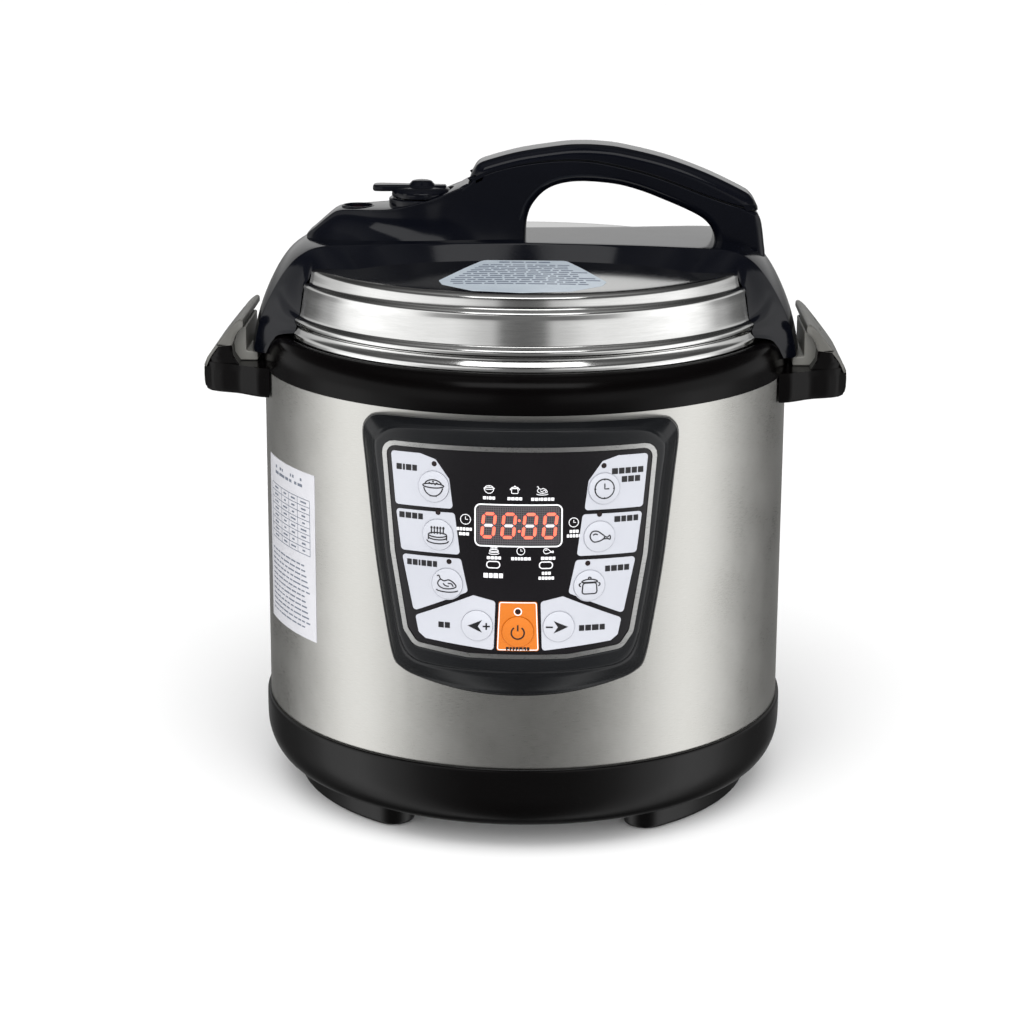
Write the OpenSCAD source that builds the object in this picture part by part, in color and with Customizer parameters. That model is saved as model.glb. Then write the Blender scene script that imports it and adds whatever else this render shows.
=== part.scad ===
// Electric pressure cooker: steel body with control panel, locking lid with arch handle.
// Millimetres. Origin on the floor under the pot axis, control panel faces -Y, +Z up.

/* [Body] */
// Outer radius of the brushed steel body
body_r = 136; // [135.5:0.1:136.2]
// Thickness of the steel body sheet
sheet = 0.8; // [0.6:0.1:0.9]
// Height of the lower edge of the visible steel
steel_bottom = 46.5; // [46:0.5:48]
// Height of the upper edge of the visible steel
steel_top = 224.5; // [224:0.5:225]
// Height of the underside of the base pan
pan_bottom = 13; // [12.5:0.5:13.5]
// Outer radius of the two foot arcs at the floor
foot_r = 120.5; // [118:0.5:121]
// Half of the gap between the foot arcs, in degrees
foot_gap = 31; // [28:1:34]

/* [Pots] */
// Outer radius of the fixed housing that carries the locking lugs
housing_r = 113.9; // [113.5:0.1:114]
// Outer radius of the removable cooking pot
pot_r = 109; // [108.5:0.1:109.5]
// Height of the underside of the cooking pot
pot_bottom = 76; // [76:0.1:76.2]
// Number of locking lugs on the housing and on the lid
lugs = 6; // [5:1:6]

/* [Lid] */
// Outer radius of the steel lid skirt
lid_r = 125.8; // [125.6:0.1:125.8]
// Height of the middle of the lid dome
lid_top = 281.4; // [281:0.1:281.4]
// Height of the flat top of the bridge
bridge_top = 289.5; // [289.5:0.1:290]
// Outer radius of the bridge ears at their lower tip
ear_r = 142.3; // [142:0.1:142.4]
// Height of the top of the carrying handle
handle_top = 338; // [337.5:0.5:338.5]
// Width of the carrying handle
handle_w = 29; // [27:1:30]

/* [Valves] */
// Distance of the pressure valve from the pot axis
valve_x = 54; // [53.5:0.5:54.5]
// Distance of the float valve from the pot axis
float_x = 87; // [86.5:0.5:87.5]

/* [Control panel] */
// Radius of the panel face, measured from the pot axis
panel_r = 149.2; // [149:0.1:149.3]
// Radius of the round key domes
key_r = 7.5; // [7:0.1:7.6]
// Height of a key dome above the panel face
key_rise = 0.8; // [0.6:0.1:0.8]

/* [Hidden] */
$fn = 96;
fit = 0.1;
pi_deg = 180;
lug_step = 360 / lugs;
lug_arc = 26;
pocket_r = panel_r - 1.2;
overlay_r = pocket_r + 0.5;
plate_r = overlay_r + 0.3;
key_spots = [[-40.5, 191.5], [-38.5, 168], [-34, 144], [40.5, 191.5], [38.5, 168], [34, 144],
             [-19.6, 124], [19.6, 124], [0, 121.5]];
lamp_spots = [[-40.3, 202.6], [-38.5, 178.9], [-33.2, 155], [40.3, 202.6], [38.5, 178.9],
              [33.2, 155], [0, 131.5]];
lid_screw_spots = [[-22, 9], [-22, -9], [109, 8], [109, -8]];
pan_screw_angles = [75, 105, 255, 285];
pan_screw_r = 105;
panel_screw_spots = [[-69, 200], [69, 200], [-61.5, 130], [61.5, 130]];
spring_r = 8;

// ---- helpers ----

function unit(v) = v / norm(v);

// Points of an arc of radius r that replaces the corner q between p and s
function corner(p, q, s, r, n) =
    let (u = unit(p - q), v = unit(s - q), half = acos(u * v) / 2)
    let (d = min(r / tan(half), 0.45 * min(norm(p - q), norm(s - q))), rr = d * tan(half))
    let (c = q + unit(u + v) * rr / sin(half), a = pi_deg - 2 * half)
    let (w0 = q + u * d - c, w1 = q + v * d - c)
    [for (i = [0:n]) c + (w0 * sin((n - i) / n * a) + w1 * sin(i / n * a)) / sin(a)];

// Outline with every corner rounded to radius r
function rounded(pts, r, n = 4) =
    let (m = len(pts))
    [for (i = [0:m - 1]) each corner(pts[(i + m - 1) % m], pts[i], pts[(i + 1) % m], r, n)];

// Closed outline made of a right half and its mirror image
function both_sides(half) =
    concat(half, [for (i = [len(half) - 1:-1:0]) [-half[i][0], half[i][1]]]);

// Outline mirrored left to right
function flip(pts) = [for (i = [len(pts) - 1:-1:0]) [-pts[i][0], pts[i][1]]];

// Ring between two radii and two heights
module ring(r0, r1, z0, z1) {
    translate([0, 0, z0])
        difference() {
            cylinder(r = r1, h = z1 - z0);
            translate([0, 0, -1]) cylinder(r = r0, h = z1 - z0 + 2);
        }
}

// Ring sector centred on angle turn, spread degrees wide
module sector(r0, r1, z0, z1, turn, spread) {
    rotate([0, 0, turn - spread / 2])
        rotate_extrude(angle = spread)
            polygon([[r0, z0], [r1, z0], [r1, z1], [r0, z1]]);
}

// Prism through the front of the body with an outline in X and Z
module front_prism(pts) {
    rotate([90, 0, 0]) linear_extrude(height = 200) polygon(pts);
}

// Curved plate on the panel between two radii with an outline in X and Z
module panel_plate(pts, r0, r1) {
    intersection() {
        ring(r0, r1, 70, 235);
        front_prism(pts);
    }
}

// Cylinder that points out of the panel face at x, z
module panel_pin(spot, r0, r1, rad) {
    rotate([0, 0, asin(spot[0] / panel_r)])
        translate([0, -r0, spot[1]])
            rotate([90, 0, 0]) cylinder(r = rad, h = r1 - r0);
}

// Vertical screw with its head below, from z0 up to z1
module screw_up(z0, z1, rad) {
    translate([0, 0, z0]) cylinder(r = rad, h = z1 - z0);
    difference() {
        translate([0, 0, z0]) cylinder(r = rad * 2, h = 2);
        translate([0, 0, z0 - 1]) cylinder(r = rad, h = 2.2, $fn = 6);
    }
}

// ---- base ----

module base_pan() {
    color("#141416")
    difference() {
        union() {
            rotate_extrude()
                polygon([[92, pan_bottom], [124, pan_bottom], [128, pan_bottom + 1],
                         [131.5, pan_bottom + 3.6], [134.4, pan_bottom + 7.6],
                         [136.6, pan_bottom + 12.2], [137.6, pan_bottom + 17],
                         [137.8, steel_bottom - 1], [137.4, steel_bottom],
                         [body_r + fit, steel_bottom], [body_r + fit, steel_bottom - 2.5],
                         [133.4, steel_bottom - 2.5], [133.2, pan_bottom + 15],
                         [130, pan_bottom + 8.5], [125, pan_bottom + 4.5],
                         [119, pan_bottom + 2.6], [92, pan_bottom + 2.6]]);
            for (a = pan_screw_angles)
                rotate([0, 0, a]) translate([pan_screw_r, 0, pan_bottom + 2]) cylinder(r = 5, h = 14);
        }
        for (a = pan_screw_angles)
            rotate([0, 0, a]) translate([pan_screw_r, 0, pan_bottom - 1]) cylinder(r = 1.9, h = 20);
        translate([-14.2, 115, 20.8]) cube([28.4, 30, 20.4]);
    }
}

module bottom_plate() {
    color("#b8b8b4")
    difference() {
        union() {
            translate([0, 0, pan_bottom]) cylinder(r = 91.6, h = 1.2);
            rotate_extrude()
                polygon([[90.4, pan_bottom], [91.6, pan_bottom], [91.6, pan_bottom + 2.8],
                         [94.5, pan_bottom + 2.8], [94.5, pan_bottom + 4], [90.4, pan_bottom + 4]]);
        }
        for (i = [0:11])
            rotate([0, 0, i * 30]) translate([40, -2.5, pan_bottom - 1]) cube([34, 5, 4]);
        translate([0, 0, pan_bottom - 1]) cylinder(r = 4, h = 4);
    }
}

// Outline of a bent bar: an arc of radius mid with half width w and round ends
function bent_bar(mid, w, reach) = concat(
    [for (i = [0:36]) let (a = -reach + i * reach / 18) (mid + w) * [cos(a), sin(a)]],
    [for (i = [1:11]) let (b = reach + i * 15) mid * [cos(reach), sin(reach)] + w * [cos(b), sin(b)]],
    [for (i = [0:36]) let (a = reach - i * reach / 18) (mid - w) * [cos(a), sin(a)]],
    [for (i = [1:11]) let (b = pi_deg - reach + i * 15)
        mid * [cos(reach), -sin(reach)] + w * [cos(b), sin(b)]]);

// One long foot, a bent bar with a small step at its lower edge, centred on angle turn
module foot(turn) {
    reach = 90 - foot_gap - 5;
    mid = foot_r - 11;
    rotate([0, 0, turn]) {
        translate([0, 0, 1]) linear_extrude(height = 1.5) polygon(bent_bar(mid, 10, reach));
        translate([0, 0, 2]) linear_extrude(height = pan_bottom - 2) polygon(bent_bar(mid, 11, reach));
    }
}

module foot_left() {
    color("#0c0c0e")
    difference() {
        foot(180);
        pad_seats();
    }
}

module foot_right() {
    color("#0c0c0e")
    difference() {
        foot(0);
        pad_seats();
    }
}

// The four rubber pads; grow widens them into their seats
module pads(grow) {
    for (a = [42, 138, 222, 318])
        rotate([0, 0, a]) translate([foot_r - 11, 0, 0]) cylinder(r = 5.5 + grow, h = 3);
}

module pad_seats() {
    pads(0.05);
}

module foot_pads() {
    color("#2a2a2a") pads(0);
}

module pan_screws() {
    color("#9a9a98")
    for (a = pan_screw_angles)
        rotate([0, 0, a]) translate([pan_screw_r, 0, pan_bottom - 2.1]) screw_up(0, 15, 1.8);
}

// ---- body ----

panel_window = both_sides([[0, 208], [52, 206], [56, 200], [52, 150], [46, 116], [38, 108], [0, 106]]);

module outer_shell() {
    color("#c9c9c5")
    difference() {
        ring(body_r - sheet, body_r, steel_bottom - 2.4, steel_top + 1.9);
        intersection() {
            cylinder(r = body_r + 5, h = 300);
            front_prism(panel_window);
        }
        for (s = panel_screw_spots) panel_pin(s, 120, 150, 1.6);
        for (z = [160, 205]) translate([0, 120, z]) rotate([-90, 0, 0]) cylinder(r = 1.6, h = 30);
        for (a = [0, 180], y = [-18, 18])
            rotate([0, 0, a]) translate([120, y, 219]) rotate([0, 90, 0]) cylinder(r = 2.1, h = 30);
        translate([-7.4, 120, steel_top - 9]) cube([14.8, 30, 20]);
    }
}

module top_collar() {
    color("#121214")
    difference() {
        union() {
            rotate_extrude()
                polygon([[115, steel_top - 1], [body_r - 1, steel_top - 1],
                         [body_r - 1, steel_top + 2], [body_r + fit, steel_top + 2],
                         [body_r + fit, steel_top], [136.9, steel_top], [136.9, steel_top + 3],
                         [136.2, steel_top + 8.5], [134.6, steel_top + 13.3],
                         [132, steel_top + 16.7], [129.5, steel_top + 18.2],
                         [127.6, steel_top + 18.7], [126.5, steel_top + 18.7],
                         [126.5, steel_top + 2], [116.8, steel_top + 2],
                         [116.8, steel_top + 8.5], [115, steel_top + 8.5]]);
            translate([-7, 126.8, steel_top - 7.5]) cube([14, 17.2, 9]);
        }
        translate([-4, 119, steel_top - 4]) cube([8, 22, 7.9]);
        translate([-4, 136.5, steel_top - 9]) cube([8, 4.5, 7]);
        translate([-8, 100, steel_top - 9]) cube([16, 27, 8]);
    }
}

handle_side = [[132, 212], [162.5, 211], [166.2, 214.4], [166.2, 223.2], [163.2, 229.4],
               [158, 236.4], [152, 243.8], [148, 248.4], [145.5, 250.2], [143.6, 249.4],
               [143.6, 246.6], [147, 243], [149.2, 238], [149.2, 231.4], [146, 226.6],
               [132, 226.6]];
handle_plan = [[120, 47], [136, 43], [146, 35], [158, 31], [164, 27], [167, 20]];

// Side handle: a bracket with an upright fin outside the lid ear
module side_handle() {
    plan = concat(handle_plan, [for (i = [len(handle_plan) - 1:-1:0])
        [handle_plan[i][0], -handle_plan[i][1]]]);
    difference() {
        intersection() {
            translate([0, 60, 0]) rotate([90, 0, 0])
                linear_extrude(height = 120) polygon(handle_side);
            linear_extrude(height = 300) polygon(plan);
        }
        cylinder(r = 137, h = 300);
        translate([0, 0, 230]) cylinder(r = 143.4, h = 40);
        for (y = [-24, 4]) translate([140, y, 241.5]) cube([30, 20, 1.6]);
        translate([138.5, -26, 205]) cube([22, 52, 13.5]);
        for (y = [-18, 18])
            translate([120, y, 219]) rotate([0, 90, 0]) cylinder(r = 1.9, h = 26);
    }
}

module side_handle_left() {
    color("#202022") mirror([1, 0, 0]) side_handle();
}

module side_handle_right() {
    color("#202022") side_handle();
}

module handle_screws() {
    color("#9a9a98")
    for (a = [0, 180], y = [-18, 18])
        rotate([0, 0, a]) translate([0, y, 219]) rotate([0, 90, 0]) {
            translate([0, 0, 131]) cylinder(r = 1.8, h = 14);
            translate([0, 0, 131]) cylinder(r = 3.4, h = 1.6);
        }
}

module side_label() {
    color("#e6e6ea")
    sector(body_r + 0.02, body_r + 0.2, 95, 182, 270 - 61, 24);
}

// ---- pots and heating ----

module housing_pot() {
    color("#b4b4b0")
    difference() {
        union() {
            rotate_extrude()
                polygon([[60, 50], [housing_r - 4, 50], [housing_r, 54], [housing_r, 234.6],
                         [118.5, 234.6], [118.5, 237], [housing_r - 1.5, 237],
                         [housing_r - 1.5, 54.6], [housing_r - 4.6, 51.5], [60, 51.5]]);
            for (i = [0:lugs - 1])
                sector(118, 123, 234.6, 237, i * lug_step + lug_step / 2, lug_arc);
        }
        for (i = [0:2])
            rotate([0, 0, i * 120]) translate([80, 0, 40]) cylinder(r = 2.2, h = 20);
    }
}

module cooking_pot() {
    color("#c4c6c6")
    rotate_extrude()
        polygon([[0, pot_bottom], [pot_r - 9, pot_bottom], [pot_r - 3, pot_bottom + 2.5],
                 [pot_r, pot_bottom + 8], [pot_r, 237.3], [115.4, 237.3], [116.2, 238.2],
                 [115.4, 239.1], [pot_r - 1, 239.1], [pot_r - 1.5, 238.4],
                 [pot_r - 1.5, pot_bottom + 9], [pot_r - 4.2, pot_bottom + 4.2],
                 [pot_r - 10, pot_bottom + 2], [0, pot_bottom + 2]]);
}

module heating_plate() {
    color("#9c9e9e")
    difference() {
        translate([0, 0, 62]) cylinder(r = 90, h = pot_bottom - 62.1);
        translate([0, 0, 50]) cylinder(r = 16, h = 40);
        rotate_extrude() translate([66, 62]) circle(r = 4.5);
        for (i = [0:2])
            rotate([0, 0, i * 120]) translate([80, 0, 55]) cylinder(r = 1.9, h = 14);
    }
}

module heating_element() {
    color("#5c5854")
    difference() {
        union() {
            rotate_extrude() translate([66, 62]) circle(r = 4.4);
            for (a = [84, 96])
                rotate([0, 0, a]) translate([66, 0, 52.2]) cylinder(r = 2.5, h = 8);
        }
        rotate([0, 0, 88.5]) translate([50, 0, 50]) cube([40, 3.4, 30]);
    }
}

// Three spring legs that carry the heating plate on the housing
module plate_legs() {
    color("#8c8c88")
    for (i = [0:2])
        rotate([0, 0, i * 120]) {
            difference() {
                union() {
                    translate([80, 0, 51.6]) cylinder(r = 6, h = 10.3);
                    translate([80, 0, 47]) cylinder(r = 6, h = 2.9);
                    translate([80, 0, 47]) cylinder(r = 2.1, h = 10);
                }
                translate([80, 0, 57]) cylinder(r = 1.9, h = 12);
            }
            translate([80, 0, 57.1]) cylinder(r = 1.8, h = 10);
        }
}

module sensor_guide() {
    color("#a8a8a4")
    difference() {
        union() {
            translate([-66, -9, 48.3]) cube([132, 18, 1.6]);
            translate([0, 0, 40]) cylinder(r = 6.5, h = 9);
        }
        translate([0, 0, 30]) cylinder(r = 4.05, h = 30);
    }
}

module sensor_cap() {
    color("#bcbcb8") {
        translate([0, 0, 70.2]) cylinder(r = 15, h = 5.6);
        translate([0, 0, 36]) cylinder(r = 4, h = 35);
        translate([0, 0, 34.6]) cylinder(r = 5.6, h = 1.5);
    }
}

// Round wire wound on a cylinder, rising from z0 to z1
module coil(rad, wire, turns, z0, z1) {
    steps = 18;
    sides = 6;
    n = turns * steps;
    pts = [for (i = [0:n], j = [0:sides - 1])
        let (a = i * 360 / steps, b = j * 360 / sides, rr = rad + wire * cos(b))
        [rr * cos(a), rr * sin(a), z0 + (z1 - z0) * i / n + wire * sin(b)]];
    skin = [for (i = [0:n - 1], j = [0:sides - 1])
        [i * sides + j, i * sides + (j + 1) % sides,
         (i + 1) * sides + (j + 1) % sides, (i + 1) * sides + j]];
    ends = [[for (j = [sides - 1:-1:0]) j], [for (j = [0:sides - 1]) n * sides + j]];
    polyhedron(points = pts, faces = concat(skin, ends));
}

module sensor_spring() {
    color("#8a8a88") coil(spring_r, 0.8, 5, 50.8, 69.3);
}

module pressure_switch() {
    color("#d8d0c0") {
        translate([24, 20, 26]) cube([26, 16, 12]);
        translate([37, 28, 37.9]) cylinder(r = 3, h = 5);
    }
}

module thermal_fuse() {
    color("#e8e4dc") {
        translate([-46, 26, 30]) rotate([0, 90, 0]) cylinder(r = 3, h = 24);
        translate([-52, 26, 30]) rotate([0, 90, 0]) cylinder(r = 0.8, h = 36);
    }
}

module power_board() {
    color("#2e6b3a") {
        translate([-60, -50, 22]) cube([120, 56, 1.6]);
        translate([-50, -42, 23.5]) cube([22, 18, 16]);
        translate([-18, -40, 23.5]) cube([26, 24, 14]);
        for (x = [22, 36]) translate([x, -30, 23.5]) cylinder(r = 5, h = 12);
        for (x = [-52, 52], y = [-44, 0]) translate([x, y, 14.3]) cylinder(r = 3, h = 8);
    }
}

module power_inlet() {
    color("#101012")
    difference() {
        union() {
            translate([-14, 118, 21]) cube([28, 20.5, 20]);
            translate([-17, 138.2, 18.5]) cube([34, 1.8, 25]);
        }
        difference() {
            translate([-12, 124, 23]) cube([24, 20, 16]);
            for (x = [-7, 0, 7]) translate([x - 1, 120, x == 0 ? 32 : 28]) cube([2, 12, 4]);
        }
    }
}

// ---- control panel ----

bezel_rim = both_sides([[0, 222.5], [25, 222.5], [48, 222.3], [68, 221.6], [74, 218.5],
                        [76.4, 212], [74.8, 194], [70.6, 153], [65.7, 120], [62, 101],
                        [58, 95.5], [48, 91.5], [25, 87], [0, 85.5]]);
bezel_face = both_sides([[0, 220.5], [22, 220.5], [43, 220], [60, 218.6], [68, 213],
                         [69.6, 208], [67.5, 190], [63.8, 153], [58.8, 122], [55.5, 110],
                         [50, 104.5], [40, 102.6], [20, 101.4], [0, 101]]);
trim_edge = rounded(both_sides([[66, 212.2], [61.8, 158], [55.6, 119], [50.4, 111.4],
                                [24, 107.8]]), 6);
trim_hole = rounded(both_sides([[63.7, 210], [59.6, 157.8], [53.5, 120], [49, 113.4],
                                [23.8, 110]]), 4.4);
panel_cavity = both_sides([[0, 214], [54, 213], [61, 206], [56, 150], [50, 118], [42, 109], [0, 106]]);
cell_top = [[59, 181.2], [31.2, 181.2], [33, 195.6], [39.5, 204.8], [47, 207.2], [61.2, 207.2]];
cell_mid = [[58.8, 179], [56.3, 158.8], [27.8, 158.8], [30.4, 179.2]];
cell_low = [[56, 156.8], [50.4, 128.8], [24, 140.6], [27.4, 156.8]];
cell_step = [[49.6, 126.6], [48, 118.4], [44.6, 115.6], [11.6, 111.9], [10.8, 136.4], [21.4, 139]];
cell_warm = both_sides([[9.2, 136.4], [10.2, 111.8]]);
window_edge = rounded(both_sides([[20.2, 183.8], [20.2, 164.2]]), 2.5);

module panel_bezel() {
    color("#1e2022")
    difference() {
        intersection() {
            hull() {
                for (p = bezel_rim)
                    rotate([0, 0, asin(p[0] / panel_r)]) translate([0, -138, p[1]]) cube([0.1, 8, 0.1], center = true);
                for (p = bezel_face)
                    rotate([0, 0, asin(p[0] / panel_r)]) translate([0, -panel_r - 1, p[1]]) cube([0.1, 1, 0.1], center = true);
            }
            cylinder(r = panel_r, h = 300);
        }
        cylinder(r = body_r + fit, h = 300);
        panel_plate(trim_edge, pocket_r, panel_r + 5);
        panel_plate(panel_cavity, body_r - 5, pocket_r - 2.4);
        for (s = key_spots) panel_pin(s, 130, 155, key_r + 0.4);
        panel_plate(both_sides([[18.6, 182.2], [18.6, 165.8]]), 130, 155);
        for (s = panel_screw_spots) panel_pin(s, 130, 142.5, 1.4);
    }
}

module panel_screws() {
    color("#9a9a98")
    for (s = panel_screw_spots) {
        panel_pin(s, body_r - sheet - 1.8, body_r - sheet - 0.06, 3);
        panel_pin(s, body_r - sheet - 1.8, 142, 1.35);
    }
}

module panel_trim() {
    color("#c8c8c8")
    difference() {
        panel_plate(trim_edge, pocket_r + 0.02, panel_r - 0.1);
        front_prism(trim_hole);
    }
}

module panel_overlay() {
    color("#0a0a0c")
    difference() {
        panel_plate(trim_hole, pocket_r + 0.02, overlay_r);
        for (s = key_spots) panel_pin(s, 130, 155, key_r + 0.4);
        for (s = lamp_spots) panel_pin(s, 130, 155, 1.3);
        front_prism(window_edge);
    }
}

// One key plate with the hole of its dome and of its lamp
module key_plate(cell, rad) {
    difference() {
        panel_plate(rounded(cell, rad), overlay_r + 0.01, plate_r);
        for (s = key_spots) panel_pin(s, 130, 155, key_r + 0.4);
        for (s = lamp_spots) panel_pin(s, 130, 155, 1.3);
    }
}

module key_plates() {
    color("#d0d3dc")
    for (cell = [cell_top, cell_mid, cell_low, cell_step]) {
        key_plate(cell, 1.6);
        key_plate(flip(cell), 1.6);
    }
}

module key_plate_warm() {
    color("#f07d10") key_plate(cell_warm, 1);
}

module display_window() {
    color("#3a1a18") panel_plate(rounded(both_sides([[19.9, 183.5], [19.9, 164.5]]), 2.3), pocket_r + 0.02, overlay_r + 0.1);
}

module display_module() {
    color("#6a2018") {
        panel_plate(both_sides([[17.6, 181.2], [17.6, 166.8]]), pocket_r - 3, pocket_r - 0.6);
        panel_plate(both_sides([[16, 180], [16, 168]]), 140.5, pocket_r - 2.8);
    }
}

module indicator_lamps() {
    color("#401410")
    for (s = lamp_spots) panel_pin(s, pocket_r + 0.1, plate_r + 0.05, 1.2);
}

// Key with a shallow dome, a retaining flange and a stem
module key_button(spot) {
    dome = (key_r * key_r + key_rise * key_rise) / (2 * key_rise);
    color("#d6d9e0")
    rotate([0, 0, asin(spot[0] / panel_r)])
        translate([0, 0, spot[1]])
            rotate([90, 0, 0]) {
                translate([0, 0, 141.4]) cylinder(r = 3, h = 3);
                translate([0, 0, 143.4]) cylinder(r = key_r + 0.9, h = 1.7);
                intersection() {
                    translate([0, 0, 144]) cylinder(r = key_r, h = 10);
                    translate([0, 0, panel_r + key_rise - dome]) sphere(r = dome);
                }
            }
}

module key_program_1() { key_button(key_spots[0]); }
module key_program_2() { key_button(key_spots[1]); }
module key_program_3() { key_button(key_spots[2]); }
module key_program_4() { key_button(key_spots[3]); }
module key_program_5() { key_button(key_spots[4]); }
module key_program_6() { key_button(key_spots[5]); }
module key_plus() { key_button(key_spots[6]); }
module key_minus() { key_button(key_spots[7]); }
module key_power() { key_button(key_spots[8]); }

module control_board() {
    color("#2e6b3a") {
        translate([-50, -121.6, 110]) cube([100, 1.6, 94]);
        for (s = key_spots) panel_pin(s, 121.6, 140.2, 2.6);
        translate([-14, -138, 168]) cube([28, 17, 10]);
        for (x = [-42, 42], z = [112, 202]) translate([x, -120.1, z]) rotate([-90, 0, 0]) cylinder(r = 2.5, h = 5);
    }
}

// ---- condensation cup ----

module cup_bracket() {
    color("#1a1a1c")
    difference() {
        union() {
            intersection() {
                ring(body_r + 0.05, body_r + 2, 150, 213);
                translate([-34, 100, 0]) cube([68, 60, 300]);
            }
            for (s = [-1, 1]) translate([s * 32.5, 0, 150]) {
                translate([-1.5, 132.6, 0]) cube([3, 10.9, 63]);
                translate([s > 0 ? -4.5 : -1.5, 141.4, 0]) cube([6, 2.1, 63]);
            }
        }
        cylinder(r = body_r + 0.05, h = 300);
        for (z = [160, 205]) translate([0, 120, z]) rotate([-90, 0, 0]) cylinder(r = 1.6, h = 30);
    }
}

module condensation_cup() {
    color("#d8dce0")
    difference() {
        union() {
            translate([0, 0, 152])
                linear_extrude(height = 62)
                    polygon([[-27.4, 139], [27.4, 139], [27.4, 146], [23.4, 150], [-23.4, 150],
                             [-27.4, 146]]);
            translate([-30.6, 139, 152]) cube([61.2, 2, 62]);
        }
        translate([0, 0, 154])
            linear_extrude(height = 62)
                polygon([[-25.4, 141], [25.4, 141], [25.4, 145.2], [22.6, 148], [-22.6, 148],
                         [-25.4, 145.2]]);
    }
}

// ---- lid ----

// Outside of the lid from the crown down to the skirt, radius then height
lid_line = [[0, lid_top], [60, lid_top - 0.5], [112, lid_top - 2.3], [115.6, lid_top - 2.9],
            [117, lid_top - 4.4], [118.2, lid_top - 9], [119.6, lid_top - 10],
            [120.8, lid_top - 11.4], [120.6, lid_top - 13.2], [121, lid_top - 14.2],
            [122.6, lid_top - 26.6], [124.2, lid_top - 27.6], [125, lid_top - 29.2],
            [124.4, lid_top - 30.8], [123.6, lid_top - 32], [124.6, lid_top - 34.6],
            [lid_r, lid_top - 36.6]];

module lid_shell() {
    wall = 1.5;
    back = [for (i = [len(lid_line) - 1:-1:0])
        [max(0, lid_line[i][0] - (i < 3 ? 0 : wall)), lid_line[i][1] - (i < 4 ? wall : i < 6 ? 0.9 : 0)]];
    color("#d4d6d8")
    difference() {
        union() {
            rotate_extrude()
                polygon(concat(lid_line, [[lid_r, 229.5], [lid_r - wall, 229.5]], back));
            for (i = [0:lugs - 1])
                sector(119.6, lid_r - 1, 230.4, 232.8, i * lug_step + lug_step / 2, lug_arc);
        }
        translate([-valve_x, 0, 260]) cylinder(r = 5.1, h = 40);
        translate([-float_x, 0, 260]) cylinder(r = 3.6, h = 40);
        for (s = lid_screw_spots) translate([s[0], s[1], 260]) cylinder(r = 2.1, h = 40);
    }
}

// Outside of the bridge from the middle to the tip of an ear, radius then height
bridge_line = [[0, bridge_top], [100, bridge_top], [108, bridge_top - 0.5], [114, bridge_top - 2],
               [119, bridge_top - 4.6], [123, bridge_top - 8], [126.4, bridge_top - 12.4],
               [129.6, bridge_top - 17.6], [132.8, bridge_top - 24], [135.4, bridge_top - 30],
               [137.6, bridge_top - 36], [139.6, bridge_top - 43], [141.2, bridge_top - 50],
               [ear_r, 232.8]];
// Half widths of the bridge outline at its top and at its foot, by distance from the middle
bridge_top_half = [[0, 26], [50, 31], [98, 38], [116, 38], [146, 24]];
bridge_foot_half = [[0, 29], [50, 37], [98, 58], [118, 50], [146, 26]];

// Slab of the bridge between two stations of the outline
module bridge_span(i) {
    hull()
        for (k = [i, i + 1]) {
            t = bridge_top_half[k];
            f = bridge_foot_half[k];
            translate([t[0] - 0.05, -t[1], 230]) cube([0.1, 2 * t[1], 70]);
            translate([f[0] - 0.05, -f[1], 230]) cube([0.1, 2 * f[1], 44]);
        }
}

// Band over the lid with an ear on each end
module lid_bridge() {
    under = [for (i = [len(lid_line) - 1:-1:0])
        [max(0, lid_line[i][0] + (i == 0 ? 0 : 0.12)), lid_line[i][1] + 0.15]];
    tip = [[ear_r - 0.6, 232], [137.8, 232], [137.4, 234.6], [135.8, 239.2], [133, 242.6],
           [129.5, 244.4], [127, 245], [126.1, 245.4]];
    color("#16171e")
    difference() {
        intersection() {
            rotate_extrude() polygon(concat(bridge_line, tip, under));
            for (s = [0, 1]) mirror([s, 0, 0]) bridge_half();
        }
        translate([-valve_x, 0, 260]) cylinder(r = 8.6, h = 40);
        translate([-float_x, 0, 260]) cylinder(r = 4, h = 40);
        for (s = lid_screw_spots) translate([s[0], s[1], 260]) cylinder(r = 2.1, h = 40);
    }
}

module bridge_half() {
    bridge_span(0);
    bridge_span(1);
    bridge_span(2);
    bridge_tail();
}

// Last slab of the bridge, narrowing over the ear
module bridge_tail() {
    intersection() {
        translate([116, -60, 230]) cube([40, 120, 70]);
        linear_extrude(height = 400)
            polygon([[115, -49], [128, -34], [146, -25], [146, 25], [128, 34], [115, 49]]);
    }
}

seam = [[-29.5, 318], [-23.5, 321.6], [-12, 325.6], [2, 328.4], [18, 330], [33.6, 329.6],
        [52, 326], [70.2, 320.8], [96.4, 311], [117.6, 304.6]];
hand_hole = rounded([[0, bridge_top + 0.4], [0.5, 299], [6, 310.6], [16, 317], [30, 319],
                     [49.5, 317], [70.4, 310], [89.4, 301.6], [95.8, 295.4],
                     [97.2, bridge_top + 0.4], [97, 280], [0.2, 280]], 3, 3);

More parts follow.
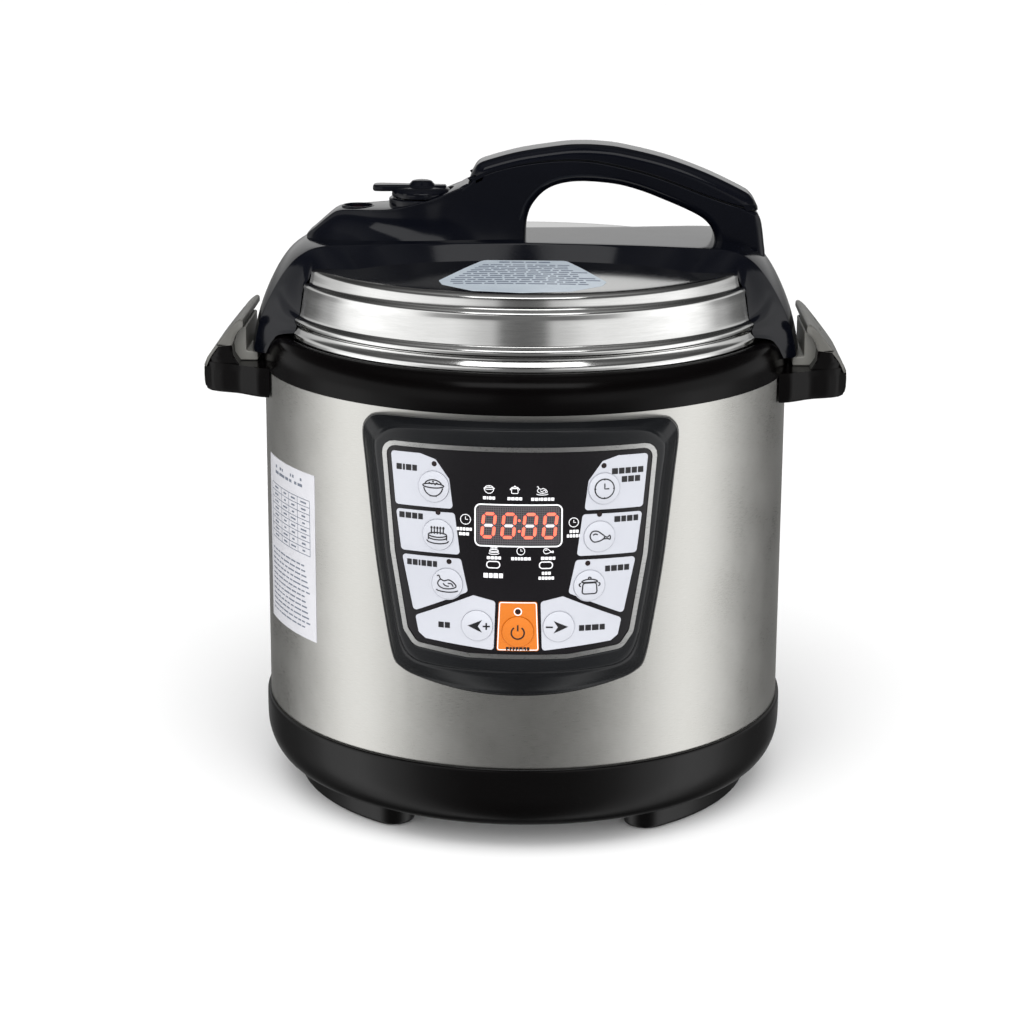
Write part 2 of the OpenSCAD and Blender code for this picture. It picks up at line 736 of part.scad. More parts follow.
module handle_base() {
    outline = concat([[-114, 280], [-112, 289], [-109, 292.6], [-103.5, 298], [-97.5, 302.8],
                      [-92, 303.4], [-71, 304.4], [-62, 305.4], [-44, 310.4], [-36, 314]],
                     [for (p = seam) [p[0], p[1] - 0.1]],
                     [[119, 303.6], [121.2, 296], [123.2, 283], [123.2, 280]]);
    color("#14151c")
    difference() {
        union() {
            intersection() {
                translate([0, handle_w / 2, 0]) rotate([90, 0, 0])
                    linear_extrude(height = handle_w) polygon(outline);
                translate([0, 0, 280]) cylinder(r = 126, h = 60);
            }
            intersection() {
                translate([0, 24, 0]) rotate([90, 0, 0])
                    linear_extrude(height = 48) polygon(outline);
                hull() {
                    translate([-88, 0, bridge_top + 0.1]) cylinder(r1 = 23.5, r2 = 12, h = 17, $fn = 32);
                    translate([-62, 0, bridge_top + 0.1]) cylinder(r1 = 24, r2 = 18, h = 22, $fn = 32);
                    translate([-20, 0, bridge_top + 0.1]) cylinder(r1 = 19, r2 = 14.5, h = 36, $fn = 32);
                }
            }
            translate([-valve_x, 0, 300]) cylinder(r = 17, h = 8.8);
        }
        front_prism(hand_hole);
        mirror([0, 1, 0]) front_prism(hand_hole);
        rotate_extrude()
            polygon(concat([[0, 0]], [for (p = bridge_line) [p[0], p[1] + 0.1]], [[150, 0]]));
        translate([-valve_x, 0, 308.9]) cylinder(r = 15, h = 20);
        translate([-valve_x, 0, 303]) cylinder(r = 13.6, h = 20);
        translate([-valve_x, 0, 280]) cylinder(r = 10.6, h = 30);
        translate([-float_x, 0, 293]) cylinder(r = 7.4, h = 20);
        translate([-float_x, 0, 280]) cylinder(r = 4, h = 20);
        for (s = lid_screw_spots) translate([s[0], s[1], 280]) cylinder(r = 1.9, h = s[0] > 0 ? 19 : 24);
    }
}

module grip_cover() {
    outline = concat(seam, [[118.6, 306.4], [115.6, 311.4], [111, 314.8], [91.5, 324],
                            [70.4, 331.4], [49.4, 336.4], [38, 337.8], [28.4, handle_top],
                            [17.9, 337.2], [-3.1, 334], [-18.8, 329.6], [-24.1, 327.6]]);
    color("#101118")
    intersection() {
        translate([0, handle_w / 2, 0]) rotate([90, 0, 0])
            linear_extrude(height = handle_w) polygon(outline);
        translate([0, 0, 280]) cylinder(r = 126, h = 60);
    }
}

module lid_screws() {
    color("#a8a8a4")
    for (s = lid_screw_spots)
        translate([s[0], s[1], 0]) screw_up(s[0] > 0 ? 275.1 : 277.3, s[0] > 0 ? 298 : 303, 1.85);
}

module lid_label() {
    shape = [[-21, -32], [21, -32], [41, -84], [39, -93], [24, -107], [0, -111], [-24, -107],
             [-39, -93], [-41, -84]];
    color("#b4c8d8")
    intersection() {
        rotate_extrude()
            polygon([[20, lid_top + 0.05], [60, lid_top - 0.45], [112, lid_top - 2.25],
                     [112, lid_top - 2.05], [60, lid_top - 0.25], [20, lid_top + 0.25]]);
        linear_extrude(height = 300) polygon(rounded(shape, 4));
    }
}

// ---- valves and seal ----

module exhaust_pipe() {
    color("#b0b0ac")
    difference() {
        union() {
            translate([-valve_x, 0, 266]) cylinder(r = 5, h = 36);
            translate([-valve_x, 0, lid_top + 0.1]) cylinder(r = 8, h = 3);
        }
        translate([-valve_x, 0, 260]) cylinder(r = 1.8, h = 60);
    }
}

module exhaust_nut() {
    color("#a0a09c")
    difference() {
        translate([-valve_x, 0, 275.2]) cylinder(r = 8.5, h = 4, $fn = 6);
        translate([-valve_x, 0, 270]) cylinder(r = 5.05, h = 20);
    }
}

module steam_shield() {
    color("#c0c2c2")
    difference() {
        union() {
            translate([-valve_x, 0, 262]) cylinder(r = 12.6, h = 17);
        }
        translate([-valve_x, 0, 263]) cylinder(r = 11.6, h = 20);
        for (i = [0:7])
            translate([-valve_x, 0, 265]) rotate([0, 0, i * 45]) translate([0, -1, 0]) cube([20, 2, 8]);
    }
}

module pressure_valve() {
    color("#15161c")
    difference() {
        union() {
            translate([-valve_x, 0, 296]) cylinder(r = 9.6, h = 14);
            translate([-valve_x, 0, 309.2]) cylinder(r = 14.2, h = 2.6);
            translate([-valve_x, 0, 311.6]) cylinder(r1 = 8, r2 = 5.6, h = 3.6);
            translate([-valve_x - 24, -4, 311.2]) cube([22, 8, 2]);
            translate([-valve_x - 24, 0, 311.2]) cylinder(r = 4, h = 2);
            translate([-valve_x + 6, -3.5, 311.4]) cube([7, 7, 2]);
        }
        translate([-valve_x, 0, 290]) cylinder(r = 5.08, h = 12.6);
    }
}

module float_valve() {
    color("#b03028") {
        translate([-float_x, 0, 270.6]) cylinder(r = 3.2, h = 31);
        translate([-float_x, 0, 268.2]) cylinder(r = 5.4, h = 2.4);
    }
}

module float_seal() {
    color("#d8d4c8")
    translate([-float_x, 0, 0]) ring(3.25, 5.6, 270.7, 272.4);
}

module sealing_ring() {
    color("#dcdcd4")
    rotate_extrude()
        polygon([[109, 239.2], [123.5, 239.2], [123.9, 240.2], [123.9, 244.4], [122.9, 244.4],
                 [122.2, 241.6], [117.4, 241.6], [118.4, 248], [116, 248], [115.4, 242.4],
                 [111.6, 242.4], [111.2, 248], [109, 248]]);
}

module ring_rack() {
    color("#b8b8b4") {
        rotate_extrude() translate([113.4, 246]) circle(r = 1.5);
        for (i = [0:2])
            rotate([0, 0, i * 120 + 20]) translate([113.4, 0, 246]) cylinder(r = 1.2, h = 12);
    }
}

base_pan();
bottom_plate();
foot_left();
foot_right();
foot_pads();
outer_shell();
top_collar();
side_handle_left();
side_handle_right();
housing_pot();
cooking_pot();
heating_plate();
heating_element();
plate_legs();
sensor_guide();
sensor_cap();
sensor_spring();
pressure_switch();
thermal_fuse();
power_board();
power_inlet();
control_board();
panel_bezel();
panel_trim();
panel_overlay();
key_plates();
key_plate_warm();
display_window();
display_module();
indicator_lamps();
key_program_1();
key_program_2();
key_program_3();
key_program_4();
key_program_5();
key_program_6();
key_plus();
key_minus();
key_power();
side_label();
cup_bracket();
condensation_cup();
pan_screws();
panel_screws();
handle_screws();
lid_shell();
lid_bridge();
handle_base();
grip_cover();
exhaust_pipe();
exhaust_nut();
steam_shield();
pressure_valve();
float_valve();
float_seal();
sealing_ring();
ring_rack();
lid_screws();
lid_label();
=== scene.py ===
"""Looks of the electric pressure cooker. Outlines are in millimetres and become metres in make()."""
import math

import bmesh
import bpy
from mathutils import Matrix, Vector
from mathutils.geometry import tessellate_polygon


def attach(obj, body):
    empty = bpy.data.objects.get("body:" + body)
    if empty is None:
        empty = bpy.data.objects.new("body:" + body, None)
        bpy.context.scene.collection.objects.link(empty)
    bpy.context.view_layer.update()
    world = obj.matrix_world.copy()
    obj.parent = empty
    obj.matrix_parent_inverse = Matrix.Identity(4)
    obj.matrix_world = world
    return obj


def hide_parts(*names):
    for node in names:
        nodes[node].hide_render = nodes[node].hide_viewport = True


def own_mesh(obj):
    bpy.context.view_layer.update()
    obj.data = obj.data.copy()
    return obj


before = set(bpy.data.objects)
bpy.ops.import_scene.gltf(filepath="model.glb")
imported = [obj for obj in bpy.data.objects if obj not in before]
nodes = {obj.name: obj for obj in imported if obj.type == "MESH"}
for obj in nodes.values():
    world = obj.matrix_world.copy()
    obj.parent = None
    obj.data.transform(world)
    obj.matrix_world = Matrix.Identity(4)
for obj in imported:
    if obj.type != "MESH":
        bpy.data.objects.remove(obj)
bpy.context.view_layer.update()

MM = 0.001


# ---- numbers and outlines ----

def lerp(a, b, t):
    """Value between a and b."""
    return a + (b - a) * t


def table(points, x):
    """Piecewise linear value at x of a list of (x, y)."""
    if x <= points[0][0]:
        return points[0][1]
    for (x0, y0), (x1, y1) in zip(points, points[1:]):
        if x <= x1:
            return lerp(y0, y1, (x - x0) / (x1 - x0))
    return points[-1][1]


def smooth_table(points, x):
    """Smooth value at x of a list of (x, y), through every point."""
    n = len(points)
    if x <= points[0][0]:
        return points[0][1]
    if x >= points[-1][0]:
        return points[-1][1]
    i = max(k for k in range(n - 1) if points[k][0] <= x)

    def slope(k):
        a, b = max(k - 1, 0), min(k + 1, n - 1)
        return (points[b][1] - points[a][1]) / (points[b][0] - points[a][0])

    x0, y0 = points[i]
    x1, y1 = points[i + 1]
    h = x1 - x0
    t = (x - x0) / h
    return (y0 * (1 + 2 * t) * (1 - t) ** 2 + slope(i) * h * t * (1 - t) ** 2
            + y1 * t * t * (3 - 2 * t) + slope(i + 1) * h * t * t * (t - 1))


def spline(points, per, closed=False):
    """Smooth line through points, with per steps between neighbours."""
    pts = [Vector(p) for p in points]
    n = len(pts)
    out = []
    for i in range(n if closed else n - 1):
        if closed:
            a, b, c, d = (pts[(i + k) % n] for k in (-1, 0, 1, 2))
        else:
            b, c = pts[i], pts[i + 1]
            a = pts[i - 1] if i else b * 2 - c
            d = pts[i + 2] if i + 2 < n else c * 2 - b
        for k in range(per):
            t = k / per
            out.append((b * 2 + (c - a) * t + (a * 2 - b * 5 + c * 4 - d) * t * t
                        + (b * 3 - a - c * 3 + d) * t ** 3) * 0.5)
    if not closed:
        out.append(pts[-1])
    return out


def resample(points, count, closed=True):
    """count points evenly spaced along a line."""
    pts = [Vector(p) for p in points]
    if closed:
        pts.append(pts[0])
    steps = [(b - a).length for a, b in zip(pts, pts[1:])]
    total = sum(steps)
    out = []
    i, run = 0, 0.0
    for k in range(count):
        want = total * k / (count if closed else count - 1)
        while i < len(steps) - 1 and run + steps[i] < want:
            run += steps[i]
            i += 1
        t = 0 if steps[i] == 0 else min(1, (want - run) / steps[i])
        out.append(pts[i].lerp(pts[i + 1], t))
    return out


def corner(p, q, s, radius, steps):
    """Arc that replaces the corner q between p and s."""
    p, q, s = Vector(p), Vector(q), Vector(s)
    u, v = (p - q).normalized(), (s - q).normalized()
    half = u.angle(v, math.pi) / 2
    if half > math.radians(88) or radius <= 0:
        return [q]
    reach = min(radius / math.tan(half), 0.45 * min((p - q).length, (s - q).length))
    r = reach * math.tan(half)
    centre = q + (u + v).normalized() * r / math.sin(half)
    w0, w1 = q + u * reach - centre, q + v * reach - centre
    turn = math.pi - 2 * half
    return [centre + (w0 * math.sin((steps - i) / steps * turn) + w1 * math.sin(i / steps * turn))
            / math.sin(turn) for i in range(steps + 1)]


def rounded(points, radius, steps=4):
    """Closed outline with every corner rounded; radius is one number or one for each corner."""
    n = len(points)
    out = []
    for i in range(n):
        r = radius[i] if isinstance(radius, (list, tuple)) else radius
        out += corner(points[i - 1], points[i], points[(i + 1) % n], r, steps)
    return out


def mirrored(half):
    """Closed outline made of a right half and its mirror image."""
    return [Vector(p) for p in half] + [Vector((-p[0], p[1])) for p in reversed(half)]


def inset(points, depths):
    """Closed outline moved inwards by depths, one number or one for each point."""
    n = len(points)
    area = sum(points[i - 1][0] * points[i][1] - points[i][0] * points[i - 1][1] for i in range(n))
    side = 1 if area > 0 else -1
    out = []
    for i in range(n):
        d = depths[i] if isinstance(depths, (list, tuple)) else depths
        a = (Vector(points[i]) - Vector(points[i - 1])).normalized()
        b = (Vector(points[(i + 1) % n]) - Vector(points[i])).normalized()
        na, nb = Vector((-a[1], a[0])) * side, Vector((-b[1], b[0])) * side
        m = na + nb
        if m.length < 0.2:
            m = na
        m.normalize()
        out.append(Vector(points[i]) + m * d / max(0.6, m.dot(na)))
    return out


def circle(radius, steps=24, cx=0.0, cy=0.0, start=0.0, turn=360.0):
    """Points on a circle or on part of it."""
    last = steps if turn == 360 else steps - 1
    return [(cx + radius * math.cos(math.radians(start + turn * i / last)),
             cy + radius * math.sin(math.radians(start + turn * i / last))) for i in range(steps)]


def ellipse(rx, ry, cx=0.0, cy=0.0, start=0.0, turn=360.0, steps=20):
    """Points on an ellipse or on part of it."""
    return [(cx + rx * x, cy + ry * y) for x, y in circle(1, steps, start=start, turn=turn)]


# ---- meshes ----

def make(name, verts, faces, body, material, slot, replaces=(), sharp=38, soften=False):
    """One piece of the model from points in millimetres."""
    mesh = bpy.data.meshes.new(name)
    mesh.from_pydata([Vector(v) * MM for v in verts], [], faces)
    bm = bmesh.new()
    bm.from_mesh(mesh)
    bmesh.ops.remove_doubles(bm, verts=bm.verts, dist=1e-7)
    bmesh.ops.dissolve_degenerate(bm, edges=bm.edges, dist=1e-8)
    bmesh.ops.recalc_face_normals(bm, faces=bm.faces)
    bm.to_mesh(mesh)
    bm.free()
    return finish_piece(name, mesh, body, material, slot, replaces, sharp, soften)


def finish_piece(name, mesh, body, material, slot, replaces=(), sharp=38, soften=False):
    """Shading, material and the links of a piece to the frame."""
    mesh.polygons.foreach_set("use_smooth", [True] * len(mesh.polygons))
    mesh.set_sharp_from_angle(angle=math.radians(sharp))
    mesh.materials.append(material)
    piece = bpy.data.objects.new(name, mesh)
    bpy.context.scene.collection.objects.link(piece)
    if soften:
        weighted = piece.modifiers.new("weighted", "WEIGHTED_NORMAL")
        weighted.keep_sharp = True
    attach(piece, body)
    if replaces:
        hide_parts(*replaces)
    return piece


def cap(ring, start):
    """Triangles that close a flat ring whose points begin at index start."""
    return [tuple(start + i for i in face) for face in tessellate_polygon([[Vector(p) for p in ring]])]


def loft(rings, close_ends=True, ring_closed=True, loop=False):
    """Faces between rings of equal length; returns points and faces."""
    n = len(rings[0])
    verts = [tuple(p) for ring in rings for p in ring]
    faces = []
    count = len(rings)
    for i in range(count if loop else count - 1):
        j = (i + 1) % count
        for k in range(n if ring_closed else n - 1):
            m = (k + 1) % n
            faces.append((i * n + k, i * n + m, j * n + m, j * n + k))
    if close_ends and not loop:
        faces += cap(rings[0], 0) + cap(rings[-1], (count - 1) * n)
    return verts, faces


def lathe(profile, steps=192):
    """Surface of revolution of a closed profile of radius and height."""
    rings = []
    for i in range(steps):
        a = 2 * math.pi * i / steps
        rings.append([(r * math.cos(a), r * math.sin(a), z) for r, z in profile])
    return loft(rings, loop=True)


def sector(r0, r1, z0, z1, centre, spread, steps=14):
    """Block between two radii, two heights and two angles in degrees."""
    rings = []
    for i in range(steps + 1):
        a = math.radians(centre - spread / 2 + spread * i / steps)
        c, s = math.cos(a), math.sin(a)
        rings.append([(r0 * c, r0 * s, z0), (r1 * c, r1 * s, z0), (r1 * c, r1 * s, z1),
                      (r0 * c, r0 * s, z1)])
    return loft(rings)


def joined(*parts):
    """Several (points, faces) pairs as one."""
    verts, faces = [], []
    for v, f in parts:
        start = len(verts)
        verts += list(v)
        faces += [tuple(i + start for i in face) for face in f]
    return verts, faces


def rounded_prism(outline, y0, y1, radii, steps=5):
    """Prism along Y with its X, Z outline and rounded edges of the given radii."""
    if not isinstance(radii, (list, tuple)):
        radii = [radii] * len(outline)
    rings = []
    for side, y in ((-1, y0), (1, y1)):
        order = range(steps + 1) if side < 0 else range(steps, -1, -1)
        for k in order:
            a = math.pi / 2 * k / steps
            loop = inset(outline, [r * (1 - math.sin(a)) for r in radii])
            rings.append([(p[0], y - side * r * (1 - math.cos(a)), p[1])
                          for p, r in zip(loop, radii)])
    return loft(rings)


def block(x0, x1, y0, y1, z0, z1, edge=0.8):
    """Box with rounded long edges."""
    outline = rounded([(x0, z0), (x1, z0), (x1, z1), (x0, z1)], edge, 4)
    return rounded_prism(outline, y0, y1, edge, 4)


def cut(piece, tool_parts):
    """Takes closed solids away from a piece and keeps the result in its mesh."""
    verts, faces = joined(*tool_parts)
    mesh = bpy.data.meshes.new("tool")
    mesh.from_pydata([Vector(v) * MM for v in verts], [], faces)
    bm = bmesh.new()
    bm.from_mesh(mesh)
    bmesh.ops.recalc_face_normals(bm, faces=bm.faces)
    bm.to_mesh(mesh)
    bm.free()
    tool = bpy.data.objects.new("tool", mesh)
    bpy.context.scene.collection.objects.link(tool)
    boolean = piece.modifiers.new("cut", "BOOLEAN")
    boolean.operation = "DIFFERENCE"
    boolean.solver = "EXACT"
    boolean.object = tool
    others = [m for m in piece.modifiers if m.type != "BOOLEAN"]
    for m in others:
        m.show_viewport = False
    bpy.context.view_layer.update()
    shaped = bpy.data.meshes.new_from_object(piece.evaluated_get(bpy.context.evaluated_depsgraph_get()))
    piece.modifiers.remove(boolean)
    for m in others:
        m.show_viewport = True
    bpy.data.objects.remove(tool)
    piece.data = shaped
    shaped.polygons.foreach_set("use_smooth", [True] * len(shaped.polygons))
    shaped.set_sharp_from_angle(angle=math.radians(38))


def cylinder(radius, z0, z1, cx=0.0, cy=0.0, steps=64):
    """Upright cylinder as points and faces."""
    ring = [(cx + radius * math.cos(2 * math.pi * i / steps), cy + radius * math.sin(2 * math.pi * i / steps))
            for i in range(steps)]
    return loft([[(x, y, z0) for x, y in ring], [(x, y, z1) for x, y in ring]])


# ---- materials ----

class Nodes:
    """Small helper that builds one node material."""

    def __init__(self, name):
        self.mat = bpy.data.materials.new(name)
        self.mat.use_nodes = True
        self.tree = self.mat.node_tree
        self.shader = self.tree.nodes["Principled BSDF"]
        self.where = self.add("ShaderNodeTexCoord").outputs["Object"]

    def add(self, kind, **inputs):
        node = self.tree.nodes.new(kind)
        for key, value in inputs.items():
            if hasattr(node, key):
                setattr(node, key, value)
        return node

    def link(self, out, into):
        self.tree.links.new(out, into)

    def math(self, operation, a, b=None):
        node = self.add("ShaderNodeMath", operation=operation)
        for socket, value in zip(node.inputs, (a, b)):
            if value is None:
                continue
            if isinstance(value, (int, float)):
                socket.default_value = value
            else:
                self.link(value, socket)
        return node.outputs[0]

    def stretched(self, scale):
        """Object coordinates multiplied by a scale for each axis, per metre."""
        node = self.add("ShaderNodeMapping")
        node.inputs["Scale"].default_value = scale
        self.link(self.where, node.inputs["Vector"])
        return node.outputs[0]

    def around(self, turn_scale, height_scale, radius_scale=0.0):
        """Coordinates that run round the pot axis, with their seam at the back."""
        xyz = self.add("ShaderNodeSeparateXYZ")
        self.link(self.where, xyz.inputs[0])
        back = self.math("MULTIPLY", xyz.outputs["Y"], -1.0)
        turn = self.math("ARCTAN2", xyz.outputs["X"], back)
        square = self.math("ADD", self.math("MULTIPLY", xyz.outputs["X"], xyz.outputs["X"]),
                           self.math("MULTIPLY", xyz.outputs["Y"], xyz.outputs["Y"]))
        radius = self.math("SQRT", square)
        out = self.add("ShaderNodeCombineXYZ")
        self.link(self.math("MULTIPLY", turn, turn_scale), out.inputs[0])
        self.link(self.math("MULTIPLY", xyz.outputs["Z"], height_scale), out.inputs[1])
        self.link(self.math("MULTIPLY", radius, radius_scale), out.inputs[2])
        return out.outputs[0]

    def noise(self, vector, scale, detail=4.0, rough=0.55):
        node = self.add("ShaderNodeTexNoise")
        node.inputs["Scale"].default_value = scale
        node.inputs["Detail"].default_value = detail
        node.inputs["Roughness"].default_value = rough
        self.link(vector, node.inputs["Vector"])
        return node.outputs["Fac"]

    def ramp(self, fac, low, high, lo_at=0.3, hi_at=0.7):
        node = self.add("ShaderNodeValToRGB")
        node.color_ramp.elements[0].color = (*low, 1)
        node.color_ramp.elements[1].color = (*high, 1)
        node.color_ramp.elements[0].position = lo_at
        node.color_ramp.elements[1].position = hi_at
        self.link(fac, node.inputs[0])
        return node.outputs[0]

    def span(self, fac, low, high, from_low=0.3, from_high=0.7):
        node = self.add("ShaderNodeMapRange")
        node.inputs["From Min"].default_value = from_low
        node.inputs["From Max"].default_value = from_high
        node.inputs["To Min"].default_value = low
        node.inputs["To Max"].default_value = high
        self.link(fac, node.inputs["Value"])
        return node.outputs[0]

    def bump(self, height, depth, strength=1.0):
        node = self.add("ShaderNodeBump")
        node.inputs["Distance"].default_value = depth
        node.inputs["Strength"].default_value = strength
        self.link(height, node.inputs["Height"])
        self.link(node.outputs[0], self.shader.inputs["Normal"])

    def set(self, **values):
        names = {"metallic": "Metallic", "ior": "IOR", "coat": "Coat Weight", "coat_rough": "Coat Roughness",
                 "anisotropy": "Anisotropic", "specular": "Specular IOR Level",
                 "transmission": "Transmission Weight", "roughness": "Roughness",
                 "glow": "Emission Strength", "alpha": "Alpha", "scatter": "Subsurface Weight"}
        for key, value in values.items():
            self.shader.inputs[names[key]].default_value = value


def plastic(name, low, high, rough, grain, depth, coat=0.0, patch=14.0, specular=0.5):
    """Moulded plastic: two close tones, a fine grain and uneven gloss."""
    m = Nodes(name)
    cloud = m.noise(m.stretched((1, 1, 1)), patch, 5)
    m.link(m.ramp(cloud, low, high), m.shader.inputs["Base Color"])
    fine = m.noise(m.stretched((1, 1, 1)), grain, 3)
    wear = m.noise(m.stretched((1, 1, 0.4)), patch * 5, 6, 0.7)
    mixed = m.math("ADD", m.math("MULTIPLY", fine, 0.45), m.math("MULTIPLY", wear, 0.55))
    m.link(m.span(mixed, rough[0], rough[1]), m.shader.inputs["Roughness"])
    m.bump(fine, depth)
    m.set(coat=coat, coat_rough=0.06, specular=specular)
    return m.mat


def steel(name, low, high, rough, stretch, depth, anisotropy=0.0, turn=True, scuff=30.0):
    """Metal with fine lines round the pot axis, or cloudy where turn is off."""
    m = Nodes(name)
    if turn:
        lines = m.noise(m.around(*stretch), 1.0, 6, 0.75)
    else:
        lines = m.noise(m.stretched(stretch), 1.0, 6, 0.75)
    cloud = m.noise(m.stretched((1, 1, 1)), scuff, 5)
    mixed = m.math("ADD", m.math("MULTIPLY", lines, 0.7), m.math("MULTIPLY", cloud, 0.3))
    m.link(m.ramp(mixed, low, high, 0.32, 0.68), m.shader.inputs["Base Color"])
    m.link(m.span(mixed, rough[0], rough[1]), m.shader.inputs["Roughness"])
    m.bump(lines, depth)
    m.set(metallic=1.0, anisotropy=anisotropy)
    if anisotropy:
        tangent = m.add("ShaderNodeTangent")
        tangent.direction_type = "RADIAL"
        tangent.axis = "Z"
        m.link(tangent.outputs[0], m.shader.inputs["Tangent"])
    return m.mat


def printed(name, low, high, rough=(0.4, 0.6)):
    """Thin ink or paper."""
    m = Nodes(name)
    cloud = m.noise(m.stretched((1, 1, 1)), 90, 5)
    m.link(m.ramp(cloud, low, high), m.shader.inputs["Base Color"])
    fibre = m.noise(m.stretched((1, 1, 1)), 1500, 3)
    m.link(m.span(fibre, rough[0], rough[1]), m.shader.inputs["Roughness"])
    m.bump(fibre, 0.00001)
    return m.mat


def glowing(name, colour, strength, low, high):
    """Lit segment behind tinted film."""
    m = Nodes(name)
    cloud = m.noise(m.stretched((1, 1, 1)), 260, 3)
    m.link(m.ramp(cloud, low, high), m.shader.inputs["Base Color"])
    m.shader.inputs["Emission Color"].default_value = (*colour, 1)
    m.link(m.span(cloud, 0.3, 0.45), m.shader.inputs["Roughness"])
    m.set(glow=strength)
    return m.mat


def clear_plastic():
    """Smoky clear cup."""
    m = Nodes("clear_plastic")
    cloud = m.noise(m.stretched((1, 1, 1)), 40, 4)
    m.link(m.ramp(cloud, (0.78, 0.82, 0.84), (0.86, 0.89, 0.9)), m.shader.inputs["Base Color"])
    m.link(m.span(cloud, 0.06, 0.16), m.shader.inputs["Roughness"])
    m.bump(m.noise(m.stretched((1, 1, 1)), 300, 3), 0.00002)
    m.set(transmission=0.82, ior=1.49)
    return m.mat


def window_film():
    """Dark display film with the fine grid of the digits behind it."""
    m = Nodes("window_film")
    xyz = m.add("ShaderNodeSeparateXYZ")
    m.link(m.where, xyz.inputs[0])
    cells = []
    for axis in ("X", "Z"):
        wave = m.math("SINE", m.math("MULTIPLY", xyz.outputs[axis], 2 * math.pi / 0.0011))
        cells.append(m.math("GREATER_THAN", wave, 0.55))
    grid = m.math("MAXIMUM", cells[0], cells[1])
    m.link(m.ramp(grid, (0.030, 0.026, 0.030), (0.085, 0.080, 0.085), 0.1, 0.9),
           m.shader.inputs["Base Color"])
    dust = m.noise(m.stretched((1, 1, 1)), 200, 4)
    m.link(m.span(dust, 0.12, 0.25), m.shader.inputs["Roughness"])
    m.set(coat=0.4, coat_rough=0.05)
    return m.mat


def element_metal():
    """Heated steel tube with bluish and brown tints."""
    m = Nodes("element_metal")
    cloud = m.noise(m.stretched((1, 1, 1)), 45, 6)
    m.link(m.ramp(cloud, (0.11, 0.085, 0.07), (0.20, 0.19, 0.20)), m.shader.inputs["Base Color"])
    m.link(m.span(cloud, 0.35, 0.6), m.shader.inputs["Roughness"])
    m.bump(cloud, 0.00004)
    m.set(metallic=0.9)
    return m.mat


